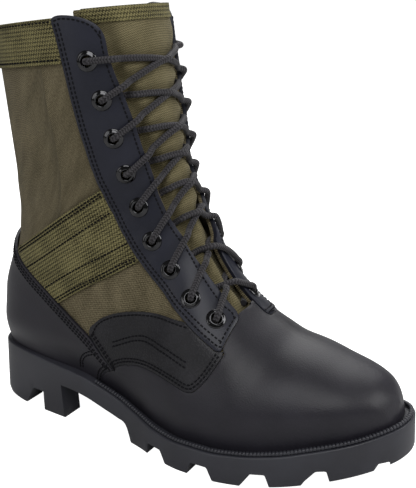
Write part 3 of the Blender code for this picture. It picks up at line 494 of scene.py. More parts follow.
FAR = 0.3
EYESTAY = flowing(side_line(EYESTAY_REAR + EYESTAY_FOOT + THROAT_EDGE[:1:-1] + EYESTAY_TOP), closed=True)
SADDLE_OUTLINE = flowing(side_line(SADDLE), closed=True)
COUNTER = np.vstack([flowing(side_line(COUNTER_EDGE)), [[-FAR, 0.0], [-FAR, 0.470 * SHAFT_HEIGHT]]])
VAMP = np.array(side_line(VAMP_OUTLINE))
ANKLE = np.vstack([flowing(side_line(ANKLE_UPPER)), flowing(side_line(ANKLE_LOWER))])
THROAT = np.vstack([flowing(side_line(THROAT_EDGE)), side_line(THROAT_FOOT)])
TOP_CORNER = np.array(side_line(SHAFT_CORNER))
TONGUE = np.vstack([flowing(moved(side_line(THROAT_EDGE[:-1]), -TONGUE_REACH, 0)),
                    side_line(TONGUE_FOOT), [[FAR, 0.410 * SHAFT_HEIGHT], [FAR, 1.3 * SHAFT_HEIGHT]]])


def in_side_view(outline, points):
    """Distance to an outline that is the same on both sides of the boot."""
    return outline_distance(outline, points[:, 0], points[:, 2])


def own_side_view(points):
    """Side view of points; the medial side is drawn back to match the lateral one."""
    medial = points[:, 1] > 0
    return (points[:, 0] - np.where(medial, MEDIAL_FORWARD, 0.0),
            points[:, 2] - np.where(medial, MEDIAL_LIFT, 0.0))


def by_side(outline, points):
    """Distance to an outline that lies further forward and higher on the medial side."""
    return outline_distance(outline, *own_side_view(points))


def rim_height(x):
    line = np.array(side_line(RIM))
    return smooth(line[:, 0], line[:, 1], x)


def over_rim(points):
    return points[:, 2] - rim_height(points[:, 0])


def under_foot(points):
    return ledge_height(points[:, 0] / SOLE_LENGTH) + SEAT_GAP - points[:, 2]


def only(side, points):
    return points[:, 1] if side == "lateral" else -points[:, 1]


def around_holes(points, radius):
    """Distance into the eyelet holes."""
    centres = np.array([hole["centre"] for hole in EYELETS])
    near = np.linalg.norm(points[:, None, :] - centres[None], axis=2).min(1)
    return radius - near


def all_of(*distances):
    """Region where all of the given ones overlap."""
    return np.maximum.reduce(distances)


def throat_region(points):
    """Distance to the throat; over the instep it is the band left between the eyestays."""
    x, z = own_side_view(points)
    past = ((x - BAND_FOOT[0]) - (z - BAND_FOOT[1])) / math.sqrt(2.0)
    across = np.maximum(points[:, 1] - BAND_MEDIAL, -BAND_LATERAL - points[:, 1])
    band = all_of(across, past, -past - BAND_LENGTH)
    return np.maximum(np.minimum(by_side(THROAT, points), band), past)


def eyestay_field(points):
    """Distance to the eyestays: their outline, the band's edge and the foot cut across them."""
    medial = points[:, 1] > 0
    beside = np.where(medial, BAND_MEDIAL - points[:, 1], points[:, 1] + BAND_LATERAL)
    x = points[:, 0] - FOOT_LINE[0] - np.where(medial, MEDIAL_FORWARD + FOOT_MEDIAL, 0.0)
    z = points[:, 2] - FOOT_LINE[1] - np.where(medial, MEDIAL_LIFT, 0.0)
    past = FOOT_NORMAL[0] * x + FOOT_NORMAL[1] * z
    corner = np.hypot(np.maximum(beside + FOOT_ROUND, 0), np.maximum(past + FOOT_ROUND, 0)) - FOOT_ROUND
    return all_of(by_side(EYESTAY, points), beside, past, corner)


def saddle_field(points):
    return all_of(in_side_view(SADDLE_OUTLINE, points), SEAT_GAP - by_side(EYESTAY, points))


def eyestay_region(side):
    return lambda points: all_of(eyestay_field(points), only(side, points),
                                 around_holes(points, EYELET_HOLE + HOLE_ROOM))


def saddle_region(side):
    return lambda points: all_of(saddle_field(points), only(side, points))


def ankle_region(side):
    return lambda points: all_of(in_side_view(ANKLE, points), only(side, points),
                                 SEAT_GAP - by_side(EYESTAY, points),
                                 SEAT_GAP - in_side_view(COUNTER, points),
                                 SEAT_GAP - in_side_view(SADDLE_OUTLINE, points))


def counter_region(points):
    return all_of(in_side_view(COUNTER, points), SEAT_GAP - in_side_view(SADDLE_OUTLINE, points),
                  under_foot(points))


def vamp_region(points):
    return all_of(in_side_view(VAMP, points), SEAT_GAP - eyestay_field(points), -throat_region(points),
                  SEAT_GAP - saddle_field(points), SEAT_GAP - in_side_view(COUNTER, points),
                  under_foot(points))


def collar_region(points):
    end = points[:, 0] - BAND_TOP[-1][0] * SOLE_LENGTH
    return all_of(over_rim(points), -over_rim(points) - COLLAR_BAND, end,
                  SEAT_GAP - by_side(EYESTAY, points))


def shaft_region(points):
    return all_of(-by_side(TOP_CORNER, points), over_rim(points) + RIM_ROOM, -throat_region(points),
                  under_foot(points), around_holes(points, EYELET_HOLE + HOLE_ROOM))


def tongue_region(points):
    return all_of(in_side_view(TONGUE, points), over_rim(points) - TONGUE_RISE)


def binding_region(points):
    top = over_rim(points) - TONGUE_RISE - RIM_ROOM
    return all_of(in_side_view(TONGUE, points) + BINDING_INSET, top, -top - TONGUE_BINDING)


# Dense grid over the last, shared by all pieces
quarter = np.arange(FORM_SIDES // 4) / (FORM_SIDES // 4)
crowded = quarter ** 2 / (quarter ** 2 + (1 - quarter) ** 2)
turns = np.concatenate([quarter, 1 + crowded, 2 + crowded, 3 + quarter]) * math.pi / 2
grid_places, grid_angles = np.meshgrid(np.linspace(0.0, 1.0, FORM_ROWS), turns, indexing="ij")
GRID = last_points(grid_places.ravel(), grid_angles.ravel()).reshape(FORM_ROWS, FORM_SIDES, 3)
STEP_AROUND = np.linalg.norm(np.roll(GRID, -1, axis=1) - GRID, axis=2)
AROUND = np.cumsum(STEP_AROUND, axis=1) - STEP_AROUND
AROUND[:, FORM_SIDES // 2:] -= STEP_AROUND.sum(axis=1, keepdims=True)
ALONG = np.cumsum(np.linalg.norm(np.diff(GRID, axis=0, prepend=GRID[:1]), axis=2), axis=0)


def side_tree(side):
    """Search tree over one side of the last, seen from that side."""
    flat = GRID.reshape(-1, 3)
    keep = np.nonzero(flat[:, 1] < 0 if side == "lateral" else flat[:, 1] > 0)[0]
    tree = KDTree(len(keep))
    for index in keep:
        tree.insert((flat[index, 0], 0.0, flat[index, 2]), int(index))
    tree.balance()
    return tree


TREES = {"lateral": side_tree("lateral"), "medial": side_tree("medial")}


def on_side(line, side):
    """Places and angles on the last where a line of the side view lies on one side."""
    line = np.asarray(line, float)
    found = [TREES[side].find((x, 0.0, z))[1] for x, z in line]
    places = grid_places.ravel()[found].copy()
    angles = grid_angles.ravel()[found].copy()
    step = 0.0005
    for _ in range(8):
        here = last_points(places, angles)
        along = (last_points(places + step, angles) - here) / step
        around = (last_points(places, angles + step) - here) / step
        error = line - here[:, [0, 2]]
        a, b, c, d = along[:, 0], around[:, 0], along[:, 2], around[:, 2]
        weight = 1e-5
        aa, ab, bb = a * a + c * c + weight, a * b + c * d, b * b + d * d + weight
        ra, rb = a * error[:, 0] + c * error[:, 1], b * error[:, 0] + d * error[:, 1]
        det = aa * bb - ab * ab
        places = np.clip(places + np.clip((bb * ra - ab * rb) / det, -0.01, 0.01), 0.001, 0.999)
        angles = angles + np.clip((aa * rb - ab * ra) / det, -0.05, 0.05)
    return places, angles


def eyelet_list():
    holes = []
    for side in ("lateral", "medial"):
        line = side_line(EYELET_PLACES)
        if side == "medial":
            line = moved(line, MEDIAL_FORWARD, MEDIAL_LIFT)
        places, angles = on_side(line, side)
        centres, normals = last_points(places, angles), last_normals(places, angles)
        for number in range(len(line)):
            holes.append({"side": side, "number": number + 1, "centre": centres[number],
                          "normal": normals[number], "spot": (places[number], angles[number])})
    return holes


EYELETS = eyelet_list()

# Rays from the side find the places of the stitches

grid_index = np.arange(FORM_ROWS * FORM_SIDES).reshape(FORM_ROWS, FORM_SIDES)
grid_next = np.roll(grid_index, -1, axis=1)
grid_quads = np.stack([grid_index[:-1], grid_index[1:], grid_next[1:], grid_next[:-1]], 2).reshape(-1, 4)
LAST_TREE = BVHTree.FromPolygons([Vector(p) for p in GRID.reshape(-1, 3)], grid_quads.tolist())


def seen_from_side(line, side):
    """Points and normals of the last where a line of the side view is seen from one side."""
    sign = -1.0 if side == "lateral" else 1.0
    points, normals = [], []
    for x, z in line:
        place, normal, _, _ = LAST_TREE.ray_cast(Vector((x, sign * BALL_WIDTH, z)), Vector((0, -sign, 0)))
        if place is None:
            continue
        points.append(place)
        normals.append(normal * math.copysign(1.0, normal.y * sign))
    points, normals = np.array(points), np.array(normals)
    for _ in range(4):
        normals[1:-1] = normals[:-2] + 2 * normals[1:-1] + normals[2:]
        normals /= np.linalg.norm(normals, axis=1, keepdims=True)
    return points, normals


# Making pieces


def add_mesh(name, points, faces, maps=None):
    """Object from points in the boot's own place; maps gives each corner its place on the cloth."""
    mesh = bpy.data.meshes.new(name)
    mesh.from_pydata(to_frame(points).tolist(), [], [tuple(int(i) for i in face) for face in faces])
    if maps is not None:
        layer = mesh.uv_layers.new(name="cloth")
        layer.data.foreach_set("uv", np.asarray(maps, float).ravel())
    piece = bpy.data.objects.new(name, mesh)
    bpy.context.scene.collection.objects.link(piece)
    return piece


def choose(piece):
    """Make one piece the only selected and the active one."""
    bpy.ops.object.select_all(action="DESELECT")
    piece.select_set(True)
    bpy.context.view_layer.objects.active = piece


def applied(piece, kind, **values):
    """Add a modifier with its values and apply it."""
    choose(piece)
    step = piece.modifiers.new(kind.lower(), kind)
    for key, value in values.items():
        setattr(step, key, value)
    bpy.ops.object.modifier_apply(modifier=step.name)


def merged(piece, distance=0.00002, outward=True):
    """Merge doubled points and, on a closed shape, turn its faces outwards."""
    choose(piece)
    bpy.ops.object.mode_set(mode="EDIT")
    bpy.ops.mesh.select_all(action="SELECT")
    bpy.ops.mesh.remove_doubles(threshold=distance)
    if outward:
        bpy.ops.mesh.normals_make_consistent(inside=False)
    bpy.ops.object.mode_set(mode="OBJECT")


def finished(piece, material, nodes, angle=40, edge_wear_and_highlight=None):
    """Give a piece its material, its shading and its place in the part."""
    choose(piece)
    bpy.ops.object.shade_smooth_by_angle(angle=math.radians(angle))
    rims = np.zeros(len(piece.data.polygons), dtype=np.int32)
    piece.data.polygons.foreach_get("material_index", rims)
    piece.data.materials.clear()
    piece.data.materials.append(material)
    # Rim faces take the second material, a lighter edge colour: partly edge wear, partly a painted
    # highlight along the edge
    if edge_wear_and_highlight is not None:
        piece.data.materials.append(edge_wear_and_highlight)
        piece.data.polygons.foreach_set("material_index", rims)
    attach(piece, "root")
    if nodes:
        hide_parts(*nodes)


def snap_to_edge(places, angles, region):
    """Move points along the last until they lie on the edge of a region."""
    step = 0.0008
    for _ in range(14):
        here = last_points(places, angles)
        value = region(here)
        ahead = last_points(places + step, angles)
        beside = last_points(places, angles + step)
        size_along = np.maximum(np.linalg.norm(ahead - here, axis=1), 1e-9)
        size_around = np.maximum(np.linalg.norm(beside - here, axis=1), 1e-9)
        slope_along = (region(ahead) - value) / size_along
        slope_around = (region(beside) - value) / size_around
        size = np.maximum(slope_along ** 2 + slope_around ** 2, 0.04)
        move = np.clip(-value / size, -0.0012, 0.0012)
        places = np.clip(places + move * slope_along * step / size_along, 0.0, 1.0)
        angles = angles + move * slope_around * step / size_around
    return places, angles


def patch(name, region, offset, thickness, maps=None, shape=None, rim=0.0004):
    """Sheet of a given thickness on the last, cut to a region; offset is its outer face."""
    value = region(GRID.reshape(-1, 3)).reshape(FORM_ROWS, FORM_SIDES)
    following = np.roll(value, -1, axis=1)
    middle = (value[:-1] + value[1:] + following[:-1] + following[1:]) / 4
    i, j = np.nonzero(middle < 0)
    k = (j + 1) % FORM_SIDES
    quads = np.stack([i * FORM_SIDES + j, (i + 1) * FORM_SIDES + j,
                      (i + 1) * FORM_SIDES + k, i * FORM_SIDES + k], 1)
    edges = np.sort(np.stack([quads, np.roll(quads, -1, axis=1)], 2).reshape(-1, 2), axis=1)
    edges, count = np.unique(edges, axis=0, return_counts=True)
    used, faces = np.unique(quads, return_inverse=True)
    faces = faces.reshape(quads.shape)
    border = np.unique(edges[count == 1])
    border = border[border // FORM_SIDES < FORM_ROWS - 1]
    border = border[border // FORM_SIDES > 0]
    ring = np.searchsorted(used, border)
    places = grid_places.ravel()[used].copy()
    angles = grid_angles.ravel()[used].copy()
    places[ring], angles[ring] = snap_to_edge(places[ring], angles[ring], region)
    points, normals = last_points(places, angles), last_normals(places, angles)
    height = offset + soft_folds(points)
    if shape is not None:
        height = height + shape(points)
    corners = points[faces]
    around = np.stack([AROUND[i, j], AROUND[i + 1, j],
                       AROUND[i + 1, j] + STEP_AROUND[i + 1, j], AROUND[i, j] + STEP_AROUND[i, j]], 1)
    along = np.stack([ALONG[i, j], ALONG[i + 1, j], ALONG[i + 1, k], ALONG[i, k]], 1)
    cloth = np.stack([around, along], 2) if maps is None else maps(corners, around, along)
    outer = points + normals * height[:, None]
    outer[used < FORM_SIDES, 1] = SECTIONS[0][4] * BALL_WIDTH
    piece = add_mesh(name, outer, faces, cloth)
    merged(piece, outward=False)
    middle_face = piece.data.polygons[len(piece.data.polygons) // 2]
    near = int(np.argmin(np.linalg.norm(to_frame(points) - np.array(middle_face.center), axis=1)))
    if np.dot(normals[near], middle_face.normal) < 0:
        piece.data.flip_normals()
    applied(piece, "SOLIDIFY", thickness=thickness, offset=-1, material_offset_rim=1)
    if rim > 0:
        applied(piece, "BEVEL", width=rim, segments=2, limit_method="ANGLE",
                angle_limit=math.radians(50), use_clamp_overlap=True)
    return piece


# Soft troughs and ridges, drawn on the boot's side: start, end, width, depth
FOLDS = [
    ((0.045, 0.150), (0.075, 0.168), 0.006, -0.0011),
    ((0.040, 0.163), (0.072, 0.182), 0.007, 0.0009),
    ((0.060, 0.205), (0.100, 0.196), 0.009, -0.0009),
    ((0.066, 0.222), (0.098, 0.216), 0.009, 0.0008),
    ((0.108, 0.123), (0.132, 0.106), 0.006, -0.0010),
    ((0.020, 0.120), (0.050, 0.138), 0.006, -0.0009),
    ((0.170, 0.060), (0.205, 0.074), 0.010, -0.0007),
    ((0.216, 0.050), (0.232, 0.078), 0.008, -0.0009),
    ((0.236, 0.046), (0.250, 0.070), 0.010, 0.0006),
    ((0.118, 0.082), (0.150, 0.086), 0.007, -0.0006),
    ((0.014, 0.062), (0.058, 0.074), 0.012, 0.0007),
]


def soft_folds(points):
    """Height of the folds and creases over the last at each point."""
    side = points[:, [0, 2]]
    height = np.zeros(len(points))
    for start, end, width, depth in FOLDS:
        start, end = np.array(start), np.array(end)
        t = np.clip(((side - start) @ (end - start)) / np.sum((end - start) ** 2), 0, 1)
        distance = np.linalg.norm(side - start - t[:, None] * (end - start), axis=1)
        fade = np.sin(np.pi * (0.12 + 0.76 * t))
        height += depth * fade * np.exp(-(distance / width) ** 2)
    calm = np.clip((-by_side(EYESTAY, points) + CALM_REACH) / CALM_REACH, 0, 1)
    low = np.clip((points[:, 2] - ledge_height(points[:, 0] / SOLE_LENGTH)) / CALM_REACH, 0, 1)
    return height * (1 - calm) * low


# Node trees


class Tree:
    """Nodes of one material or of one shared effect."""

    def __init__(self, tree):
        self.tree = tree

    def feed(self, value, socket):
        """Link an output into a socket, or set the socket's constant."""
        if isinstance(value, bpy.types.NodeSocket):
            self.tree.links.new(value, socket)
        else:
            socket.default_value = value

    def node(self, kind, inputs=None, **values):
        made = self.tree.nodes.new(kind)
        for key, value in values.items():
            setattr(made, key, value)
        for key, value in (inputs or {}).items():
            self.feed(value, made.inputs[key])
        return made

    def math(self, operation, first, second=0.0):
        return self.node("ShaderNodeMath", {0: first, 1: second}, operation=operation).outputs[0]

    def add(self, first, second):
        return self.math("ADD", first, second)

    def times(self, first, second):
        return self.math("MULTIPLY", first, second)

    def ramp(self, value, low, high, start=0.0, end=1.0):
        return self.node("ShaderNodeMapRange", {"Value": value, "From Min": low, "From Max": high,
                                                "To Min": start, "To Max": end}).outputs["Result"]

    def blend(self, share, first, second):
        return self.node("ShaderNodeMix", {0: share, 6: first, 7: second}, data_type="RGBA").outputs[2]

    def noise(self, place, scale, detail):
        return self.node("ShaderNodeTexNoise", {"Vector": place, "Scale": scale, "Detail": detail,
                                                "Roughness": 0.55}).outputs["Fac"]

    def bump(self, height, strength, distance):
        return self.node("ShaderNodeBump", {"Strength": strength, "Distance": distance,
                                            "Height": height}).outputs[0]

    def solid_place(self):
        return self.node("ShaderNodeTexCoord").outputs["Object"]

    def cloth_place(self):
        return self.node("ShaderNodeUVMap", uv_map="cloth").outputs[0]


NUMBER, COLOUR, PLACE = "NodeSocketFloat", "NodeSocketColor", "NodeSocketVector"
DARK_AND_LIGHT = {"Dark": (COLOUR, (0.02, 0.02, 0.02, 1)), "Light": (COLOUR, (0.05, 0.05, 0.05, 1))}


def effect(name, inputs, outputs):
    """Shared effect with its named inputs, as (kind, value), and outputs."""
    group = bpy.data.node_groups.new(name, "ShaderNodeTree")
    for title, (kind, value) in inputs.items():
        socket = group.interface.new_socket(title, in_out="INPUT", socket_type=kind)
        if value is not None:
            socket.default_value = value
    for title, kind in outputs.items():
        group.interface.new_socket(title, in_out="OUTPUT", socket_type=kind)
    tree = Tree(group)
    return group, tree, tree.node("NodeGroupInput").outputs, tree.node("NodeGroupOutput").inputs


def leather_effect():
    """Grain, cloudy colour and faint scuffs of leather."""
    group, tree, given, made = effect(
        "leather_surface",
        {"Place": (PLACE, None), **DARK_AND_LIGHT, "Grain Size": (NUMBER, 900.0),
         "Grain Depth": (NUMBER, 0.3), "Pebbles": (NUMBER, 0.0), "Scuffs": (NUMBER, 0.3)},
        {"Colour": COLOUR, "Roughness": NUMBER, "Height": NUMBER})
    place = given["Place"]
    clouds = tree.noise(place, 18.0, 4.0)
    fine = tree.noise(place, 420.0, 3.0)
    cells = tree.node("ShaderNodeTexVoronoi", {"Vector": place, "Scale": given["Grain Size"],
                                               "Smoothness": 0.6}, feature="SMOOTH_F1")
    pebbles = tree.ramp(cells.outputs["Distance"], 0.12, 0.62)
    grain = tree.add(tree.times(pebbles, given["Grain Depth"]), tree.times(fine, 0.25))
    stretched = tree.node("ShaderNodeMapping", {"Vector": place, "Rotation": (0.3, 0.5, 0.9),
                                                "Scale": (26.0, 240.0, 90.0)}).outputs["Vector"]
    streaks = tree.ramp(tree.noise(stretched, 1.0, 2.0), 0.64, 0.74)
    where = tree.ramp(tree.noise(place, 34.0, 2.0), 0.56, 0.70)
    scuff = tree.times(tree.times(streaks, where), given["Scuffs"])
    tone = tree.add(tree.ramp(clouds, 0.30, 0.72, 0.0, 0.75), tree.times(fine, 0.20))
    tone = tree.math("SUBTRACT", tone, tree.times(pebbles, given["Pebbles"]))
    tone = tree.add(tone, scuff)
    tree.feed(tree.blend(tone, given["Dark"], given["Light"]), made["Colour"])
    tree.feed(tree.add(tree.ramp(clouds, 0.3, 0.7, -0.04, 0.05), tree.times(scuff, 0.25)),
              made["Roughness"])
    tree.feed(tree.math("SUBTRACT", 1.0, grain), made["Height"])
    return group


def weave_effect():
    """Over and under threads of a woven cloth, from its own places in metres; their tone is painted shade
    in the gaps and painted highlight on the raised threads, and the fuzz and the patches are the cloth's
    own random tone.
    """
    group, tree, given, made = effect(
        "woven_threads",
        {"Cloth": (PLACE, None), "Pitch Across": (NUMBER, 0.001), "Pitch Along": (NUMBER, 0.001),
         "Twill": (NUMBER, 0.0), **DARK_AND_LIGHT, "Fuzz": (NUMBER, 0.3)},
        {"Colour": COLOUR, "Height": NUMBER})
    split = tree.node("ShaderNodeSeparateXYZ", {"Vector": given["Cloth"]})
    turn, rise = [tree.math("DIVIDE", tree.times(split.outputs[axis], 2 * math.pi), given[pitch])
                  for axis, pitch in ((0, "Pitch Across"), (1, "Pitch Along"))]
    warp = tree.math("SINE", tree.add(turn, tree.times(rise, given["Twill"])))
    over = tree.times(warp, tree.math("SINE", rise))
    ribs = tree.math("ABSOLUTE", tree.math("COSINE", tree.times(rise, 0.5)))
    threads = tree.add(tree.add(tree.times(over, 0.45), tree.times(ribs, 0.55)), 0.1)
    hairs = tree.noise(given["Cloth"], 1300.0, 4.0)
    patches = tree.noise(given["Cloth"], 60.0, 3.0)
    fuzz = tree.times(tree.math("SUBTRACT", hairs, 0.5), given["Fuzz"])
    # Painted shade and painted highlight: the threads' tone is darker where they lie low and lighter
    # where they stand up
    tone = tree.add(tree.times(threads, 0.80), tree.times(fuzz, 1.9))
    tone = tree.add(tone, tree.ramp(patches, 0.3, 0.7, -0.08, 0.22))
    tree.feed(tree.blend(tone, given["Dark"], given["Light"]), made["Colour"])
    tree.feed(tree.add(threads, fuzz), made["Height"])
    return group


LEATHER_EFFECT = leather_effect()
WEAVE_EFFECT = weave_effect()


def new_material(name, roughness, **constants):
    """Material with its own shader; constants are set on the shader's sockets."""
    material = bpy.data.materials.new(name)
    material.use_nodes = True
    shader = material.node_tree.nodes["Principled BSDF"].inputs
    shader["Roughness"].default_value = roughness
    for key, value in constants.items():
        shader[key.replace("_", " ")].default_value = value
    return material, Tree(material.node_tree), shader


def with_effect(tree, shader, group, given, bump, distance):
    """Put a shared effect to work: its colour and its relief feed the shader."""
    made = tree.node("ShaderNodeGroup", given, node_tree=group).outputs
    tree.feed(made["Colour"], shader["Base Color"])
    tree.feed(tree.bump(made["Height"], bump, distance), shader["Normal"])
    return made


def leather(name, dark, light, roughness, coat, grain, depth, pebbles, scuffs, bump):
    """Leather of one finish."""
    material, tree, shader = new_material(name, roughness, Coat_Weight=coat, Coat_Roughness=0.30,
                                          Specular_IOR_Level=0.26)
    surface = with_effect(tree, shader, LEATHER_EFFECT,
                          {"Place": tree.solid_place(), "Dark": (*dark, 1), "Light": (*light, 1),
                           "Grain Size": grain, "Grain Depth": depth, "Pebbles": pebbles,
                           "Scuffs": scuffs}, bump, 0.0003)
    tree.feed(tree.add(surface["Roughness"], roughness), shader["Roughness"])
    return material


def cloth(name, dark, light, across, along, twill, fuzz, bump):
    """Woven cloth of one kind."""
    material, tree, shader = new_material(name, 0.85, Sheen_Weight=0.04, Sheen_Roughness=0.5,
                                          Specular_IOR_Level=0.15)
    with_effect(tree, shader, WEAVE_EFFECT,
                {"Cloth": tree.cloth_place(), "Dark": (*dark, 1), "Light": (*light, 1),
                 "Pitch Across": across, "Pitch Along": along, "Twill": twill, "Fuzz": fuzz},
                bump, 0.0004)
    return material


def speckled(name, dark, light, scale, detail, bump, distance, **constants):
    """Matte surface with fine flecks, such as thread or board."""
    material, tree, shader = new_material(name, 0.9, **constants)
    flecks = tree.noise(tree.solid_place(), scale, detail)
    tree.feed(tree.blend(flecks, (*dark, 1), (*light, 1)), shader["Base Color"])
    tree.feed(tree.bump(flecks, bump, distance), shader["Normal"])
    return material


def rubber():
    """Dark slate rubber with a satin, slightly dusty skin."""
    material, tree, shader = new_material("slate_rubber", 0.5, Specular_IOR_Level=0.45)
    place = tree.solid_place()
    clouds = tree.noise(place, 30.0, 5.0)
    fine = tree.noise(place, 900.0, 2.0)
    tone = tree.ramp(clouds, 0.32, 0.70)
    tree.feed(tree.blend(tone, (0.014, 0.014, 0.019, 1), (0.027, 0.028, 0.036, 1)), shader["Base Color"])
    tree.feed(tree.ramp(clouds, 0.3, 0.7, 0.42, 0.56), shader["Roughness"])
    tree.feed(tree.bump(fine, 0.12, 0.0003), shader["Normal"])
    return material


def enamel():
    """Black gloss enamel on the eyelets."""
    material, tree, shader = new_material("black_enamel", 0.16, Metallic=1.0, Coat_Weight=1.0,
                                          Coat_Roughness=0.03)
    marks = tree.ramp(tree.noise(tree.solid_place(), 260.0, 3.0), 0.55, 0.75)
    tree.feed(tree.blend(marks, (0.006, 0.006, 0.008, 1), (0.016, 0.016, 0.019, 1)),
              shader["Base Color"])
    tree.feed(tree.ramp(marks, 0.0, 1.0, 0.08, 0.16), shader["Roughness"])
    return material


def braid():
    """Charcoal braided cord; its cloth map holds the length and the turn around it."""
    material, tree, shader = new_material("charcoal_braid", 0.72, Sheen_Weight=0.08,
                                          Sheen_Roughness=0.5, Specular_IOR_Level=0.2)
    split = tree.node("ShaderNodeSeparateXYZ", {"Vector": tree.cloth_place()})
    rows = tree.times(split.outputs[0], 2 * math.pi / BRAID_PITCH)
    columns = tree.times(split.outputs[1], 2 * math.pi * 4)
    slant = tree.math("ABSOLUTE", tree.math("SINE", tree.times(columns, 0.5)))
    chevrons = tree.math("SINE", tree.add(rows, tree.times(slant, 3.0)))
    strands = tree.add(tree.times(chevrons, 0.5), tree.times(slant, 0.6))
    fibres = tree.noise(tree.solid_place(), 2400.0, 3.0)
    tone = tree.add(tree.ramp(strands, -0.3, 1.1), tree.times(fibres, 0.2))
    tree.feed(tree.blend(tone, (0.0015, 0.0015, 0.002, 1), (0.047, 0.044, 0.049, 1)),
              shader["Base Color"])
    tree.feed(tree.bump(strands, 0.8, 0.0004), shader["Normal"])
    return material


# Dark and light colour, roughness, coat, grain size and depth, pebbles, scuffs, relief
VAMP_LEATHER = leather("vamp_leather", (0.0080, 0.0074, 0.0105), (0.0200, 0.0188, 0.0255),
                       0.46, 0.05, 1100.0, 0.5, 0.10, 0.55, 0.28)
STAY_LEATHER = leather("eyestay_leather", (0.0050, 0.0056, 0.0105), (0.0150, 0.0165, 0.0280),
                       0.42, 0.05, 1300.0, 0.4, 0.08, 0.30, 0.22)
PEBBLED_LEATHER = leather("pebbled_leather", (0.0050, 0.0048, 0.0066), (0.0250, 0.0240, 0.0300),
                          0.48, 0.03, 850.0, 0.9, 0.35, 0.15, 0.45)
# Lighter colour of the leather's cut edges: partly edge wear, partly a painted highlight along the edges
WORN_EDGE_WITH_HIGHLIGHT = leather("leather_edge_wear_and_highlight", (0.0900, 0.0940, 0.1080), (0.1900, 0.2000, 0.2300),
                       0.50, 0.0, 700.0, 0.5, 0.10, 0.0, 0.30)
# Dark colour, painted shade in the gaps, and light colour, painted highlight on the raised threads; pitch
# across and along, twill, fuzz, relief
NYLON = cloth("olive_nylon", (0.030, 0.024, 0.010), (0.215, 0.180, 0.108),
              0.0012, 0.0012, 0.0, 0.95, 0.7)
TONGUE_NYLON = cloth("tongue_nylon", (0.052, 0.043, 0.019), (0.215, 0.185, 0.102),
                     0.0012, 0.0013, 0.0, 0.60, 0.7)
TAPE = cloth("green_tape", (0.007, 0.006, 0.002), (0.235, 0.208, 0.092),
             0.0019, 0.0023, 0.5, 0.95, 1.0)
SLATE_RUBBER = rubber()
BLACK_ENAMEL = enamel()
CHARCOAL_BRAID = braid()
DARK_THREAD = speckled("dark_thread", (0.003, 0.003, 0.004), (0.012, 0.012, 0.014),
                       1500.0, 2.0, 0.4, 0.0002, Specular_IOR_Level=0.1)
BLACK_THREAD = speckled("black_thread", (0.003, 0.003, 0.003), (0.009, 0.009, 0.010),
                        1500.0, 2.0, 0.4, 0.0002, Specular_IOR_Level=0.1)
FIBRE_BOARD = speckled("fibre_board", (0.030, 0.027, 0.024), (0.075, 0.068, 0.058),
                       700.0, 4.0, 0.3, 0.0004)

# The lace, its way worked out first because the tongue yields to it

STAY_TOP = SEAT_GAP + LEATHER + STAY_RISE
LACE_OVER = STAY_TOP + LACE_RADIUS + LACE_CLEARANCE
LACE_UNDER = -(WALL + SEAT_GAP + LACE_RADIUS)


def hole(side, number):
    return next(h for h in EYELETS if h["side"] == side and h["number"] == number)


def signed_turn(angle):
    return (angle + math.pi) % (2 * math.pi) - math.pi


def strand(start, goal, over, top):
    """Points of one strand: out of its eyelet, over the edge and the tongue, to the far eyelet."""
    share = np.linspace(0, 1, 160)
    place_a, turn_a = start["spot"]
    place_b, turn_b = goal["spot"]
    turn_a, turn_b = signed_turn(turn_a), signed_turn(turn_b)
    places = place_a + (place_b - place_a) * share
    angles = turn_a + (turn_b - turn_a) * share
    base, normals = last_points(places, angles), last_normals(places, angles)
    along = run_along(base)
    free = np.nonzero(by_side(THROAT, base) < 0)[0]
    edge_a, edge_b = along[free[0]], along[free[-1]]
    rest = -(WALL + SEAT_GAP) + LACE_RADIUS + LACE_CLEARANCE
    beside_rim = LACE_OVER + 2 * LACE_CLEARANCE
    knots = [0.0, EYELET_RADIUS, edge_a + EDGE_PASS, edge_a + EDGE_REST]
    heights = [LACE_OVER + EYELET_HEIGHT, beside_rim, LACE_OVER, rest]
    if top:
        knots += [edge_b - EDGE_REST, edge_b - EDGE_PASS, along[-1] - EYELET_RADIUS, along[-1]]
        heights += [rest, LACE_OVER, beside_rim, LACE_OVER + EYELET_HEIGHT]
    else:
        knots += [edge_b - HIDDEN_REST, edge_b - HIDDEN_PASS, along[-1]]
        heights += [rest, LACE_UNDER, LACE_UNDER]
    keep = [0]
    for i in range(1, len(knots)):
        if knots[i] > knots[keep[-1]] + KNOT_SPACING:
            keep.append(i)
    height = smooth([knots[i] for i in keep], [heights[i] for i in keep], along)
    middle = (edge_a + edge_b) / 2
    height = height + over * np.exp(-((along - middle) / CROSSING_SPREAD) ** 2)
    path = base + normals * height[:, None]
    run = run_along(path)
    picks = np.linspace(0, run[-1], int(run[-1] / STRAND_PITCH))
    path = at_places(picks, run, path)
    return path[1:] if top else path[1:-1]


def lace_chain(side):
    """Way of one half of the lace, from the lowest eyelet to the top one."""
    other = {"lateral": "medial", "medial": "lateral"}
    first = hole(side, len(EYELET_PLACES))
    inward = first["centre"] + first["normal"] * LACE_UNDER
    aside = LACE_END[1] if side == "lateral" else -LACE_END[1]
    path = [inward + np.array([LACE_END[0], aside, 0.0]), inward, first["centre"]]
    for number in range(len(EYELET_PLACES), 1, -1):
        start, goal = hole(side, number), hole(other[side], number - 1)
        above = (number % 2 == 0) == (side == "lateral")
        over = CROSSING_LIFT * LACE_RADIUS if above else -LACE_CLEARANCE
        path.append(start["centre"] + start["normal"] * (STAY_TOP + 0.4 * LACE_RADIUS))
        path.extend(strand(start, goal, over, number == 2))
        side = other[side]
        if number > 2:
            path.append(goal["centre"] + goal["normal"] * (LACE_UNDER * 0.55))
            path.append(goal["centre"])
        else:
            path.append(goal["centre"] + goal["normal"] * STAY_TOP)
            path.append(goal["centre"])
            path.append(goal["centre"] - goal["normal"] * (WALL + LACE_RADIUS))
    return np.array(path)


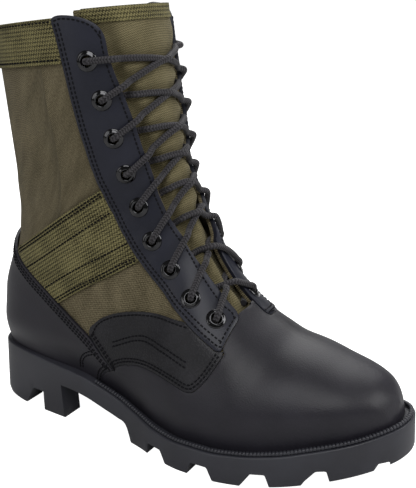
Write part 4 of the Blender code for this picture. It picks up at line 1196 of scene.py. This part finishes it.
def even_path(path, pitch):
    """Smooth curve through the points, evenly stepped, and the way walked up to each step."""
    fine = flowing(path)
    for _ in range(6):
        fine[1:-1] = 0.25 * fine[:-2] + 0.5 * fine[1:-1] + 0.25 * fine[2:]
    run = run_along(fine)
    picks = np.linspace(0, run[-1], max(4, int(run[-1] / pitch)))
    return at_places(picks, run, fine), picks


def wall_faces(rings, sides):
    """Faces between rings of points that follow one another."""
    faces = []
    for i in range(rings - 1):
        for j in range(sides):
            k = (j + 1) % sides
            faces.append((i * sides + j, i * sides + k, (i + 1) * sides + k, (i + 1) * sides + j))
    return faces


def end_faces(rings, sides):
    """Faces that close the first and the last ring."""
    last = (rings - 1) * sides
    return [tuple(range(sides - 1, -1, -1)), tuple(range(last, last + sides))]


def tube(name, path, lengths, radius, sides):
    """Round tube along a path with closed ends; the cloth map holds length and turn."""
    tangent = np.gradient(path, axis=0)
    tangent /= np.linalg.norm(tangent, axis=1, keepdims=True)
    normal = np.cross(tangent[0], [0.3, 0.5, 0.8])
    rings = []
    for point, along in zip(path, tangent):
        normal = normal - np.dot(normal, along) * along
        normal /= np.linalg.norm(normal)
        beside = np.cross(along, normal)
        turns = np.arange(sides) * 2 * math.pi / sides
        rings.append(point + radius * (np.cos(turns)[:, None] * normal + np.sin(turns)[:, None] * beside))
    faces = wall_faces(len(path), sides) + end_faces(len(path), sides)
    maps = [(lengths[i + further], (j + turned) / sides)
            for i in range(len(path) - 1) for j in range(sides)
            for further, turned in ((0, 0), (0, 1), (1, 1), (1, 0))]
    maps += [(0.0, 0.0)] * (2 * sides)
    piece = add_mesh(name, np.concatenate(rings), faces, maps)
    merged(piece)
    return piece


CHAIN_LATERAL = lace_chain("lateral")
CHAIN_MEDIAL = lace_chain("medial")

# The leather, nylon and webbing of the upper

lace_tree = KDTree(len(CHAIN_LATERAL) + len(CHAIN_MEDIAL))
for index, spot in enumerate(np.vstack([CHAIN_LATERAL, CHAIN_MEDIAL])):
    lace_tree.insert(spot, index)
lace_tree.balance()


def tongue_shape(points):
    """The tongue lies lower under the eyestays and puffs out between the strands."""
    share = eased(np.clip((-throat_region(points) - TONGUE_COVERED) / TONGUE_EASE, 0, 1))
    near = np.array([lace_tree.find(point)[2] for point in points])
    press = np.exp(-(near / LACE_PRESS_REACH) ** 2)
    above = np.clip((points[:, 2] - TONGUE_CALM) / TONGUE_CALM_REACH, 0, 1)
    puff = (TONGUE_PUFF - LACE_PRESS * press) * share
    return -TONGUE_DIP * (1 - share) * (1 - above) + puff * (1 - above)


def stay_shape(points):
    """The eyestay lies on the leather under it; its edges are drawn down a little."""
    edge = np.clip(-eyestay_field(points) / RIM_REACH, 0, 1)
    return -STAY_DROP * (1 - edge) ** 2


def saddle_shape(points):
    edge = np.clip(-in_side_view(SADDLE_OUTLINE, points) / RIM_REACH, 0, 1)
    return -SADDLE_DROP * (1 - edge) ** 2


def counter_shape(points):
    """The counter bulges a little along its edge, above the sole."""
    edge = np.clip(-in_side_view(COUNTER, points) / COUNTER_REACH, 0, 1)
    high = np.clip((points[:, 2] - HEEL_HEIGHT) / COUNTER_RISE, 0, 1)
    return COUNTER_BULGE * (1 - eased(edge)) * high


def band_maps(corners, around, along):
    depth = rim_height(corners[..., 0].ravel()).reshape(around.shape) - corners[..., 2]
    return np.stack([around, depth], 2)


def tongue_maps(corners, around, along):
    return np.stack([around, 0.92 * corners[..., 2] - 0.39 * corners[..., 0]], 2)


ANKLE_SLANT = math.atan2(0.203 * SHAFT_HEIGHT, 0.300 * SOLE_LENGTH)


def ankle_maps(corners, around, along):
    x, z = corners[..., 0], corners[..., 2]
    return np.stack([x * math.cos(ANKLE_SLANT) + z * math.sin(ANKLE_SLANT),
                     z * math.cos(ANKLE_SLANT) - x * math.sin(ANKLE_SLANT)], 2)


LEATHER_TOP = SEAT_GAP + LEATHER
upper = patch("nylon_upper", shaft_region, 0.0, WALL, rim=0.0003)
finished(upper, NYLON, ["upper"])
vamp = patch("leather_vamp", vamp_region, LEATHER_TOP, LEATHER)
finished(vamp, VAMP_LEATHER, ["vamp"], edge_wear_and_highlight=WORN_EDGE_WITH_HIGHLIGHT)
counter = patch("leather_counter", counter_region, LEATHER_TOP, LEATHER, shape=counter_shape)
finished(counter, VAMP_LEATHER, ["counter"], edge_wear_and_highlight=WORN_EDGE_WITH_HIGHLIGHT)
for side in ("lateral", "medial"):
    stay = patch("leather_eyestay_" + side, eyestay_region(side), STAY_TOP, LEATHER + STAY_RISE,
                 shape=stay_shape, rim=0.0005)
    finished(stay, STAY_LEATHER, ["eyestay_" + side], edge_wear_and_highlight=WORN_EDGE_WITH_HIGHLIGHT)
    saddle = patch("pebbled_saddle_" + side, saddle_region(side), LEATHER_TOP + SADDLE_RISE,
                   LEATHER + SADDLE_RISE, shape=saddle_shape)
    finished(saddle, PEBBLED_LEATHER, ["saddle_" + side], edge_wear_and_highlight=WORN_EDGE_WITH_HIGHLIGHT)
    ankle = patch("woven_ankle_tape_" + side, ankle_region(side), SEAT_GAP + WEBBING, WEBBING,
                  maps=ankle_maps)
    finished(ankle, TAPE, ["ankle_webbing_" + side])
band = patch("woven_collar_tape", collar_region, SEAT_GAP + WEBBING, WEBBING, maps=band_maps)
finished(band, TAPE, ["collar_webbing"])
tongue = patch("nylon_tongue", tongue_region, -(WALL + SEAT_GAP), TONGUE_THICKNESS, maps=tongue_maps,
               shape=tongue_shape, rim=0.0005)
finished(tongue, TONGUE_NYLON, ["tongue"])
binding = patch("woven_tongue_binding", binding_region, -(WALL + SEAT_GAP) + BINDING_RISE,
                TONGUE_THICKNESS + BINDING_EXTRA, maps=band_maps, shape=tongue_shape, rim=0.0007)
finished(binding, TAPE, [])

# Eyelets: one rolled ring, turned and copied to its eighteen places


def eyelet_model():
    """One eyelet standing on the floor plane, spun from its profile."""
    profile = [(EYELET_HOLE + 0.0004, -0.0030), (EYELET_HOLE - 0.0001, -0.0004),
               (EYELET_HOLE + 0.0000, 0.0008), (EYELET_HOLE + 0.0003, 0.0013),
               (EYELET_HOLE + 0.0008, 0.0015), (EYELET_HOLE + 0.0013, 0.0013),
               (EYELET_HOLE + 0.0018, 0.0009), (EYELET_RADIUS - 0.0003, 0.0007),
               (EYELET_RADIUS + 0.0002, 0.0005), (EYELET_RADIUS + 0.0005, 0.0000)]
    mesh = bpy.data.meshes.new("eyelet_profile")
    mesh.from_pydata([(r, 0, z) for r, z in profile], [(i, i + 1) for i in range(len(profile) - 1)], [])
    ring = bpy.data.objects.new("eyelet_model", mesh)
    bpy.context.scene.collection.objects.link(ring)
    choose(ring)
    bpy.ops.object.mode_set(mode="EDIT")
    bpy.ops.mesh.select_all(action="SELECT")
    bpy.ops.mesh.spin(steps=36, angle=2 * math.pi, center=(0, 0, 0), axis=(0, 0, 1))
    bpy.ops.mesh.select_all(action="SELECT")
    bpy.ops.mesh.remove_doubles(threshold=0.00001)
    bpy.ops.mesh.normals_make_consistent(inside=False)
    bpy.ops.object.mode_set(mode="OBJECT")
    top = max(mesh.polygons, key=lambda face: face.center.z)
    if top.normal.z < 0:
        mesh.flip_normals()
    applied(ring, "SOLIDIFY", thickness=RING_WALL, offset=-1)
    return ring


def standing_on(centre, normal):
    """Matrix that stands a model at a place, its axis along a normal."""
    turn = Vector((0, 0, 1)).rotation_difference(Vector(normal))
    return Matrix.Translation(Vector(to_frame(centre))) @ turn.to_matrix().to_4x4()


def copy_of(model, name, matrix):
    piece = bpy.data.objects.new(name, model.data.copy())
    bpy.context.scene.collection.objects.link(piece)
    piece.data.transform(matrix)
    return piece


eyelet = eyelet_model()
for opening in EYELETS:
    title = f"eyelet_{opening['side']}_{opening['number']}"
    base = opening["centre"] + opening["normal"] * (STAY_TOP + STITCH_LIFT)
    ring = copy_of(eyelet, "rolled_" + title, standing_on(base, opening["normal"]))
    finished(ring, BLACK_ENAMEL, [title], angle=60)
bpy.data.objects.remove(eyelet, do_unlink=True)

# Lace

for title, chain, first in (("braided_lace_a", CHAIN_LATERAL, 1), ("braided_lace_b", CHAIN_MEDIAL, 2)):
    nodes = [f"lace_crossing_{number}" for number in range(first, 9, 2)]
    way, lengths = even_path(chain, LACE_PITCH)
    cord = tube(title, way, lengths, CORD_RADIUS, LACE_SIDES)
    finished(cord, CHARCOAL_BRAID, nodes, angle=60)

# Sole


def sole_loop(stations):
    """Outline of the sole seen from above, counterclockwise, and its outward normals."""
    lateral, medial = sole_sides(stations)
    x = stations * SOLE_LENGTH
    loop = np.concatenate([np.stack([x, lateral], 1), np.stack([x, medial], 1)[-2:0:-1]])
    along = np.roll(loop, -1, axis=0) - np.roll(loop, 1, axis=0)
    normals = np.stack([along[:, 1], -along[:, 0]], 1)
    return loop, normals / np.linalg.norm(normals, axis=1, keepdims=True)


def sole_ring(stations, offset, height):
    """Ring around the sole at an offset from its outline and a height over each place."""
    loop, normals = sole_loop(stations)
    plan = loop + normals * np.reshape(offset, (-1, 1))
    return np.column_stack([plan, height(plan[:, 0] / SOLE_LENGTH)])


def round_stations(count):
    return (1 - np.cos(np.linspace(0, math.pi, count))) / 2


def prism(name, outline, start, end, axis="y"):
    """Closed solid between two places along an axis, drawn as a closed line."""
    count = len(outline)
    if axis == "y":
        points = [(x, y, z) for y in (start, end) for x, z in outline]
    else:
        points = [(x, y, z) for z in (start, end) for x, y in outline]
    sides = [(i, (i + 1) % count, count + (i + 1) % count, count + i) for i in range(count)]
    faces = [tuple(range(count)), tuple(range(2 * count - 1, count - 1, -1))] + sides
    piece = add_mesh(name, points, faces)
    merged(piece)
    return piece


def rounded(outline, radius, per=4):
    """Closed outline with its corners rounded."""
    points = np.array(outline, float)
    result = []
    for i in range(len(points)):
        before, here, after = points[i - 1], points[i], points[(i + 1) % len(points)]
        reach = min(radius, np.linalg.norm(before - here) / 2.2, np.linalg.norm(after - here) / 2.2)
        start = here + (before - here) / np.linalg.norm(before - here) * reach
        end = here + (after - here) / np.linalg.norm(after - here) * reach
        for t in np.linspace(0, 1, per):
            result.append(tuple((1 - t) ** 2 * start + 2 * t * (1 - t) * here + t ** 2 * end))
    return result


def make_outsole():
    """The moulded sole: its block, then the arch, the notches and the hollows."""
    stations = round_stations(SOLE_STATIONS)
    loop = sole_loop(stations)[0]
    share = 1 - eased(np.clip(loop[:, 0] / SOLE_LENGTH / 0.12, 0, 1))
    low = sole_ring(stations, HEEL_FLARE * share, tread_height)
    low[:, 2] += EDGE_ROUND + (HEEL_BEVEL_HEIGHT - EDGE_ROUND) * share
    bevel = EDGE_ROUND + (HEEL_BEVEL - EDGE_ROUND) * share
    rings = [sole_ring(stations, -EDGE_ROUND, ledge_height)]
    for turn in (30, 60, 90):
        sine, cosine = math.sin(math.radians(turn)), math.cos(math.radians(turn))
        rings.append(sole_ring(stations, EDGE_ROUND * (sine - 1),
                               lambda s, c=cosine: ledge_height(s) - EDGE_ROUND * (1 - c)))
    high = rings[-1]
    for part in (0.25, 0.5, 0.75, 1.0):
        rings.append(high + (low - high) * part)
    foot = sole_ring(stations, HEEL_FLARE * share - bevel, tread_height)
    for turn in (30, 60, 90):
        sine, cosine = math.sin(math.radians(turn)), math.cos(math.radians(turn))
        ring = foot + (low - foot) * cosine
        ring[:, 2] = low[:, 2] + (foot[:, 2] - low[:, 2]) * sine
        rings.append(ring)
    count = len(low)
    faces = wall_faces(len(rings), count)
    for start in (0, (len(rings) - 1) * count):
        for i in range(SOLE_STATIONS - 1):
            strip = [i, i + 1, (count - i - 1) % count, (count - i) % count]
            faces.append(tuple(start + j for j in dict.fromkeys(strip)))
    outsole = add_mesh("moulded_outsole", np.concatenate(rings), faces)
    merged(outsole)
    far = 2 * BALL_WIDTH
    arch = [(s * SOLE_LENGTH, h * HEEL_HEIGHT) for s, h in ARCH]
    bow = [tuple(point) for point in flowing(arch, per=4)]
    arch = [(arch[0][0], -HEEL_HEIGHT)] + bow + [(arch[-1][0], -HEEL_HEIGHT)]
    cutters = [prism("cut_arch", arch, -far, far)]
    for number, row in enumerate([HEEL_NOTCH] + NOTCHES):
        depth = HEEL_LUG_DEPTH if number == 0 else FORE_LUG_DEPTH
        start, end, top_start, top_end, part = row
        floor = float(tread_height((start + end) / 2))
        outline = [(start * SOLE_LENGTH, floor), (top_start * SOLE_LENGTH, floor + depth * part),
                   (top_end * SOLE_LENGTH, floor + depth * part), (end * SOLE_LENGTH, floor)]
        feet = [(outline[0][0], -HEEL_HEIGHT), (outline[3][0], -HEEL_HEIGHT)]
        outline = rounded(feet[:1] + outline + feet[1:], NOTCH_ROUND)
        lateral, medial = sole_sides((start + end) / 2)
        reach = LUG_WIDTH + CHANNEL_OVERLAP
        cutters.append(prism(f"cut_lateral_{number}", outline, -far, float(lateral[0]) + reach))
        cutters.append(prism(f"cut_medial_{number}", outline, float(medial[0]) - reach, far))
    for number, (start, end) in enumerate(HEEL_HOLLOWS + HOLLOWS):
        depth = HEEL_LUG_DEPTH if number < len(HEEL_HOLLOWS) else FORE_LUG_DEPTH
        places = np.linspace(start, end, 5)
        lateral, medial = sole_sides(places)
        plan = [(s * SOLE_LENGTH, y + LUG_WIDTH) for s, y in zip(places, lateral)]
        plan += [(s * SOLE_LENGTH, y - LUG_WIDTH) for s, y in zip(places[::-1], medial[::-1])]
        top = float(tread_height((start + end) / 2)) + depth
        cutters.append(prism(f"cut_hollow_{number}", plan, -HEEL_HEIGHT, top, axis="z"))
    for cutter in cutters:
        applied(outsole, "BOOLEAN", operation="DIFFERENCE", solver="EXACT", object=cutter)
        bpy.data.objects.remove(cutter, do_unlink=True)
    merged(outsole, distance=0.0002)
    applied(outsole, "BEVEL", width=0.0006, segments=2, limit_method="ANGLE",
            angle_limit=math.radians(35), use_clamp_overlap=True)
    return outsole


finished(make_outsole(), SLATE_RUBBER, ["outsole"], angle=35)


def make_welt():
    """The beaded rubber strip on the ledge around the forefoot."""
    stations = round_stations(600)
    middle = sole_ring(stations, -(WELT_INSET + WELT_WIDTH / 2), ledge_height)
    first = int(np.searchsorted(stations, WELT_START))
    middle = middle[first:len(middle) - first + 1]
    run = run_along(middle)
    count = int(run[-1] / WELT_PITCH)
    picks = (np.arange(count) + 0.5) * run[-1] / count
    spots = at_places(picks, run, middle)
    ahead = np.gradient(spots, axis=0)
    bpy.ops.object.select_all(action="DESELECT")
    bpy.ops.mesh.primitive_uv_sphere_add(segments=8, ring_count=6, radius=1.0)
    bead = bpy.context.active_object
    shape = np.array([v.co for v in bead.data.vertices])
    shape = np.sign(shape) * np.abs(shape) ** 0.7
    shape = shape * np.array([WELT_PITCH * 0.53, WELT_WIDTH / 2, WELT_HEIGHT / 2])
    faces = [tuple(face.vertices) for face in bead.data.polygons]
    bpy.data.objects.remove(bead, do_unlink=True)
    points, all_faces = [], []
    for spot, way in zip(spots, ahead):
        way = way / np.linalg.norm(way)
        across = np.cross([0, 0, 1], way)
        across /= np.linalg.norm(across)
        up = np.cross(way, across)
        base = len(points) * len(shape)
        centre = spot + up * (WELT_HEIGHT / 2 + SEAT_GAP)
        points.append(centre + shape @ np.stack([way, across, up]))
        all_faces += [tuple(base + i for i in face) for face in faces]
    rail = tube("rail", spots + np.array([0, 0, 0.0010]), picks, 0.0009, 8)
    bottom = len(points) * len(shape)
    points.append(np.array([v.co for v in rail.data.vertices]) + SHIFT)
    all_faces += [tuple(bottom + i for i in face.vertices) for face in rail.data.polygons]
    bpy.data.objects.remove(rail, do_unlink=True)
    return add_mesh("beaded_welt", np.concatenate(points), all_faces)


finished(make_welt(), SLATE_RUBBER, ["welt"], angle=50)
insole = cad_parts["insole"]
insole.data.materials.clear()
insole.data.materials.append(FIBRE_BOARD)

# Stitches


def stitch_shape():
    """Points and faces of one stitch along X, a few dozen faces."""
    sides = 6
    stations = [(-0.42, 0.75), (-0.12, 1.0), (0.12, 1.0), (0.42, 0.75)]
    points = []
    for along, size in stations:
        for turn in np.arange(sides) * 2 * math.pi / sides:
            points.append((along * STITCH_LENGTH, math.cos(turn) * size * STITCH_RADIUS,
                           math.sin(turn) * size * STITCH_RADIUS))
    rings = len(stations)
    return np.array(points), wall_faces(rings, sides) + end_faces(rings, sides)


STITCH, STITCH_FACES = stitch_shape()


def drawn_in(line, distance):
    """Line moved sideways by a distance, to the left of its way."""
    way = np.gradient(line, axis=0)
    way /= np.maximum(np.linalg.norm(way, axis=1, keepdims=True), 1e-9)
    return line + distance * np.stack([-way[:, 1], way[:, 0]], 1)


def stitched(name, side, lines, height, region, material):
    """One piece with all stitches along lines of the side view that lie inside a region."""
    points, faces = [], []
    for line in lines:
        run = run_along(line)
        picks = np.linspace(0, run[-1], max(3, int(run[-1] / RAY_PITCH)))
        base, normals = seen_from_side(at_places(picks, run, line), side)
        lift = height + soft_folds(base)
        if region is counter_region:
            lift += counter_shape(base)
        surface = base + normals * lift[:, None]
        run = run_along(surface)
        count = int(run[-1] / STITCH_PITCH)
        picks = (np.arange(count) + 0.5) * run[-1] / max(count, 1)
        spots, ups, bases = [at_places(picks, run, values) for values in (surface, normals, base)]
        ways = at_places(picks, run, np.gradient(surface, axis=0))
        good = region(bases) < -STITCH_INSET
        good &= around_holes(bases, EYELET_RADIUS + STITCH_ROOM) < 0
        for spot, up, way in zip(spots[good], ups[good], ways[good]):
            way = way / np.linalg.norm(way)
            up = up - np.dot(up, way) * way
            up /= np.linalg.norm(up)
            start = len(points) * len(STITCH)
            points.append(spot + STITCH @ np.stack([way, np.cross(up, way), up]))
            faces += [tuple(start + i for i in face) for face in STITCH_FACES]
    finished(add_mesh(name, np.concatenate(points), faces), material, [], angle=60)


def stay_lines(side):
    """Rows of the eyestay: two at its rear, one at its front, its top and its foot."""
    shift = (MEDIAL_FORWARD, MEDIAL_LIFT) if side == "medial" else (0.0, 0.0)
    run_on = FOOT_MEDIAL if side == "medial" else 0.0
    rear, front, top = [flowing(moved(side_line(edge), *shift)) for edge in
                        (EYESTAY_REAR + EYESTAY_FOOT[:3], THROAT_EDGE[1:], EYESTAY_TOP)]
    foot = [(run_on + FOOT_LINE[0] - FOOT_SEAM + 0.1 * rise, FOOT_LINE[1] + rise)
            for rise in (0.003, 0.009, 0.0165)]
    return [drawn_in(rear, SEAM), drawn_in(rear, SECOND_SEAM), drawn_in(front, -FRONT_SEAM),
            drawn_in(top, SEAM), flowing(moved(foot, *shift))]


# Double seam across the saddle
SADDLE_SEAM = [(0.1225, 0.068), (0.145, 0.076), (0.165, 0.0735), (0.184, 0.068)]
saddle_low = flowing(side_line(SADDLE[7:] + SADDLE[:1]))
SADDLE_LINES = [drawn_in(saddle_low, -SEAM), drawn_in(saddle_low, -0.0040),
                drawn_in(flowing(side_line(SADDLE[:7])), -SEAM)]
SADDLE_LINES += [flowing([(x, z + lift) for x, z in SADDLE_SEAM]) for lift in (-0.0015, 0.0015)]

# Arc at the counter's front, and how far the second arc moves forward and down there
COUNTER_ARC = [(0.0865, 0.042, 1.0, 0.0), (0.0890, 0.049, 1.0, 0.0), (0.0950, 0.0555, 0.8, 0.5),
               (0.1040, 0.0600, 0.5, 0.9), (0.1130, 0.0625, 0.0, 1.0)]
counter_top, counter_foot = flowing(side_line(COUNTER_EDGE[:8])), flowing(side_line(COUNTER_EDGE[7:]))
COUNTER_LINES = [drawn_in(counter_top, -distance) for distance in (SEAM, SECOND_SEAM, THIRD_SEAM)]
COUNTER_LINES += [flowing([(x + shift * ahead, z - shift * down) for x, z, ahead, down in COUNTER_ARC])
                  for shift in (0.0, 0.0024)]
COUNTER_LINES += [drawn_in(counter_foot, -distance) for distance in (0.0018, 0.0040)]

ankle_high, ankle_low = flowing(side_line(ANKLE_UPPER)), flowing(side_line(ANKLE_LOWER))
ANKLE_LINES = [drawn_in(edge, -distance) for edge, distance in
               ((ankle_high, 0.0016), (ankle_high, 0.0034), (ankle_low, 0.0016),
                (ankle_low, 0.0034), (ankle_low, 0.0135), (ankle_high, 0.0150))]

rim_places = np.linspace(0.028, 0.116, 30)
COLLAR_LINES = [np.stack([rim_places, rim_height(rim_places) - depth], 1)
                for depth in (SEAM, COLLAR_BAND - 0.0025)]

LEATHER_STITCH = LEATHER_TOP + 0.00012
TAPE_STITCH = SEAT_GAP + WEBBING + 0.0001
for side in ("lateral", "medial"):
    stitched("eyestay_stitches_" + side, side, stay_lines(side), STAY_TOP + STITCH_LIFT,
             eyestay_region(side), DARK_THREAD)
    stitched("saddle_stitches_" + side, side, SADDLE_LINES, LEATHER_STITCH + SADDLE_RISE,
             saddle_region(side), DARK_THREAD)
    stitched("counter_stitches_" + side, side, COUNTER_LINES, LEATHER_STITCH,
             counter_region, DARK_THREAD)
    stitched("ankle_stitches_" + side, side, ANKLE_LINES, TAPE_STITCH,
             ankle_region(side), BLACK_THREAD)
    stitched("collar_stitches_" + side, side, COLLAR_LINES, TAPE_STITCH,
             collar_region, BLACK_THREAD)

# Floor, light and camera

SKY_LIGHT = 0.14
SKY_SEEN = 1.1
FLOOR_SEEN = 1.05

bpy.ops.object.select_all(action="DESELECT")
bpy.ops.mesh.primitive_plane_add(size=60, location=(0, 0, 0))
floor = bpy.context.active_object
floor.name = "studio_floor"
pale, pale_tree, pale_shader = new_material("pale_floor", 0.9, Base_Color=(0.62, 0.62, 0.62, 1.0),
                                             Emission_Color=(1.0, 1.0, 1.0, 1.0))
floor_seen = pale_tree.node("ShaderNodeLightPath").outputs["Is Camera Ray"]
pale_tree.feed(pale_tree.ramp(floor_seen, 0.0, 1.0, 0.0, FLOOR_SEEN), pale_shader["Emission Strength"])
floor.data.materials.append(pale)


def soft_light(name, place, target, size, power):
    """Soft square lamp that looks at a place."""
    data = bpy.data.lights.new(name, "AREA")
    data.energy = power
    data.size = size
    lamp = bpy.data.objects.new(name, data)
    bpy.context.scene.collection.objects.link(lamp)
    lamp.location = place
    lamp.rotation_euler = (Vector(target) - Vector(place)).to_track_quat("-Z", "Y").to_euler()


# Name, place, target, size and power of each lamp
soft_light("key_light", (0.7, -1.0, 1.5), (0.03, 0.0, 0.13), 1.2, 21)
soft_light("side_light", (-0.7, -1.6, 0.7), (-0.05, 0.0, 0.12), 1.0, 6)
soft_light("toe_light", (1.7, 0.5, 1.0), (0.1, 0.0, 0.05), 1.1, 20)
soft_light("top_light", (-0.3, 1.5, 1.6), (0.05, 0.0, 0.08), 1.7, 34)
world = bpy.data.worlds.new("studio_white")
world.use_nodes = True
sky = Tree(world.node_tree)
sky_shader = world.node_tree.nodes["Background"]
sky_shader.inputs["Color"].default_value = (1, 1, 1, 1)
seen = sky.node("ShaderNodeLightPath").outputs["Is Camera Ray"]
sky.feed(sky.ramp(seen, 0.0, 1.0, SKY_LIGHT, SKY_SEEN), sky_shader.inputs["Strength"])
bpy.context.scene.world = world
bpy.context.scene.view_settings.view_transform = "Standard"

CAMERA_AZIMUTH = math.radians(32.34)
CAMERA_ELEVATION = math.radians(16.88)
CAMERA_ROLL = math.radians(-3.384)
CAMERA_DISTANCE = 0.4946
CAMERA_TARGET = Vector((0.0242, 0.0031, 0.1303))
CAMERA_LENS = 57.86

back = Vector((math.sin(CAMERA_AZIMUTH) * math.cos(CAMERA_ELEVATION),
               -math.cos(CAMERA_AZIMUTH) * math.cos(CAMERA_ELEVATION), math.sin(CAMERA_ELEVATION)))
right = Vector((math.cos(CAMERA_AZIMUTH), math.sin(CAMERA_AZIMUTH), 0.0))
up = back.cross(right)
right_rolled = math.cos(CAMERA_ROLL) * right + math.sin(CAMERA_ROLL) * up
up_rolled = -math.sin(CAMERA_ROLL) * right + math.cos(CAMERA_ROLL) * up
lens = bpy.data.cameras.new("photo_camera")
lens.lens = CAMERA_LENS
lens.sensor_width = 36.0
lens.sensor_fit = "AUTO"
camera = bpy.data.objects.new("photo_camera", lens)
bpy.context.scene.collection.objects.link(camera)
turn = Matrix((right_rolled, up_rolled, back)).transposed().to_4x4()
camera.matrix_world = Matrix.Translation(CAMERA_TARGET + CAMERA_DISTANCE * back) @ turn
bpy.context.scene.camera = camera
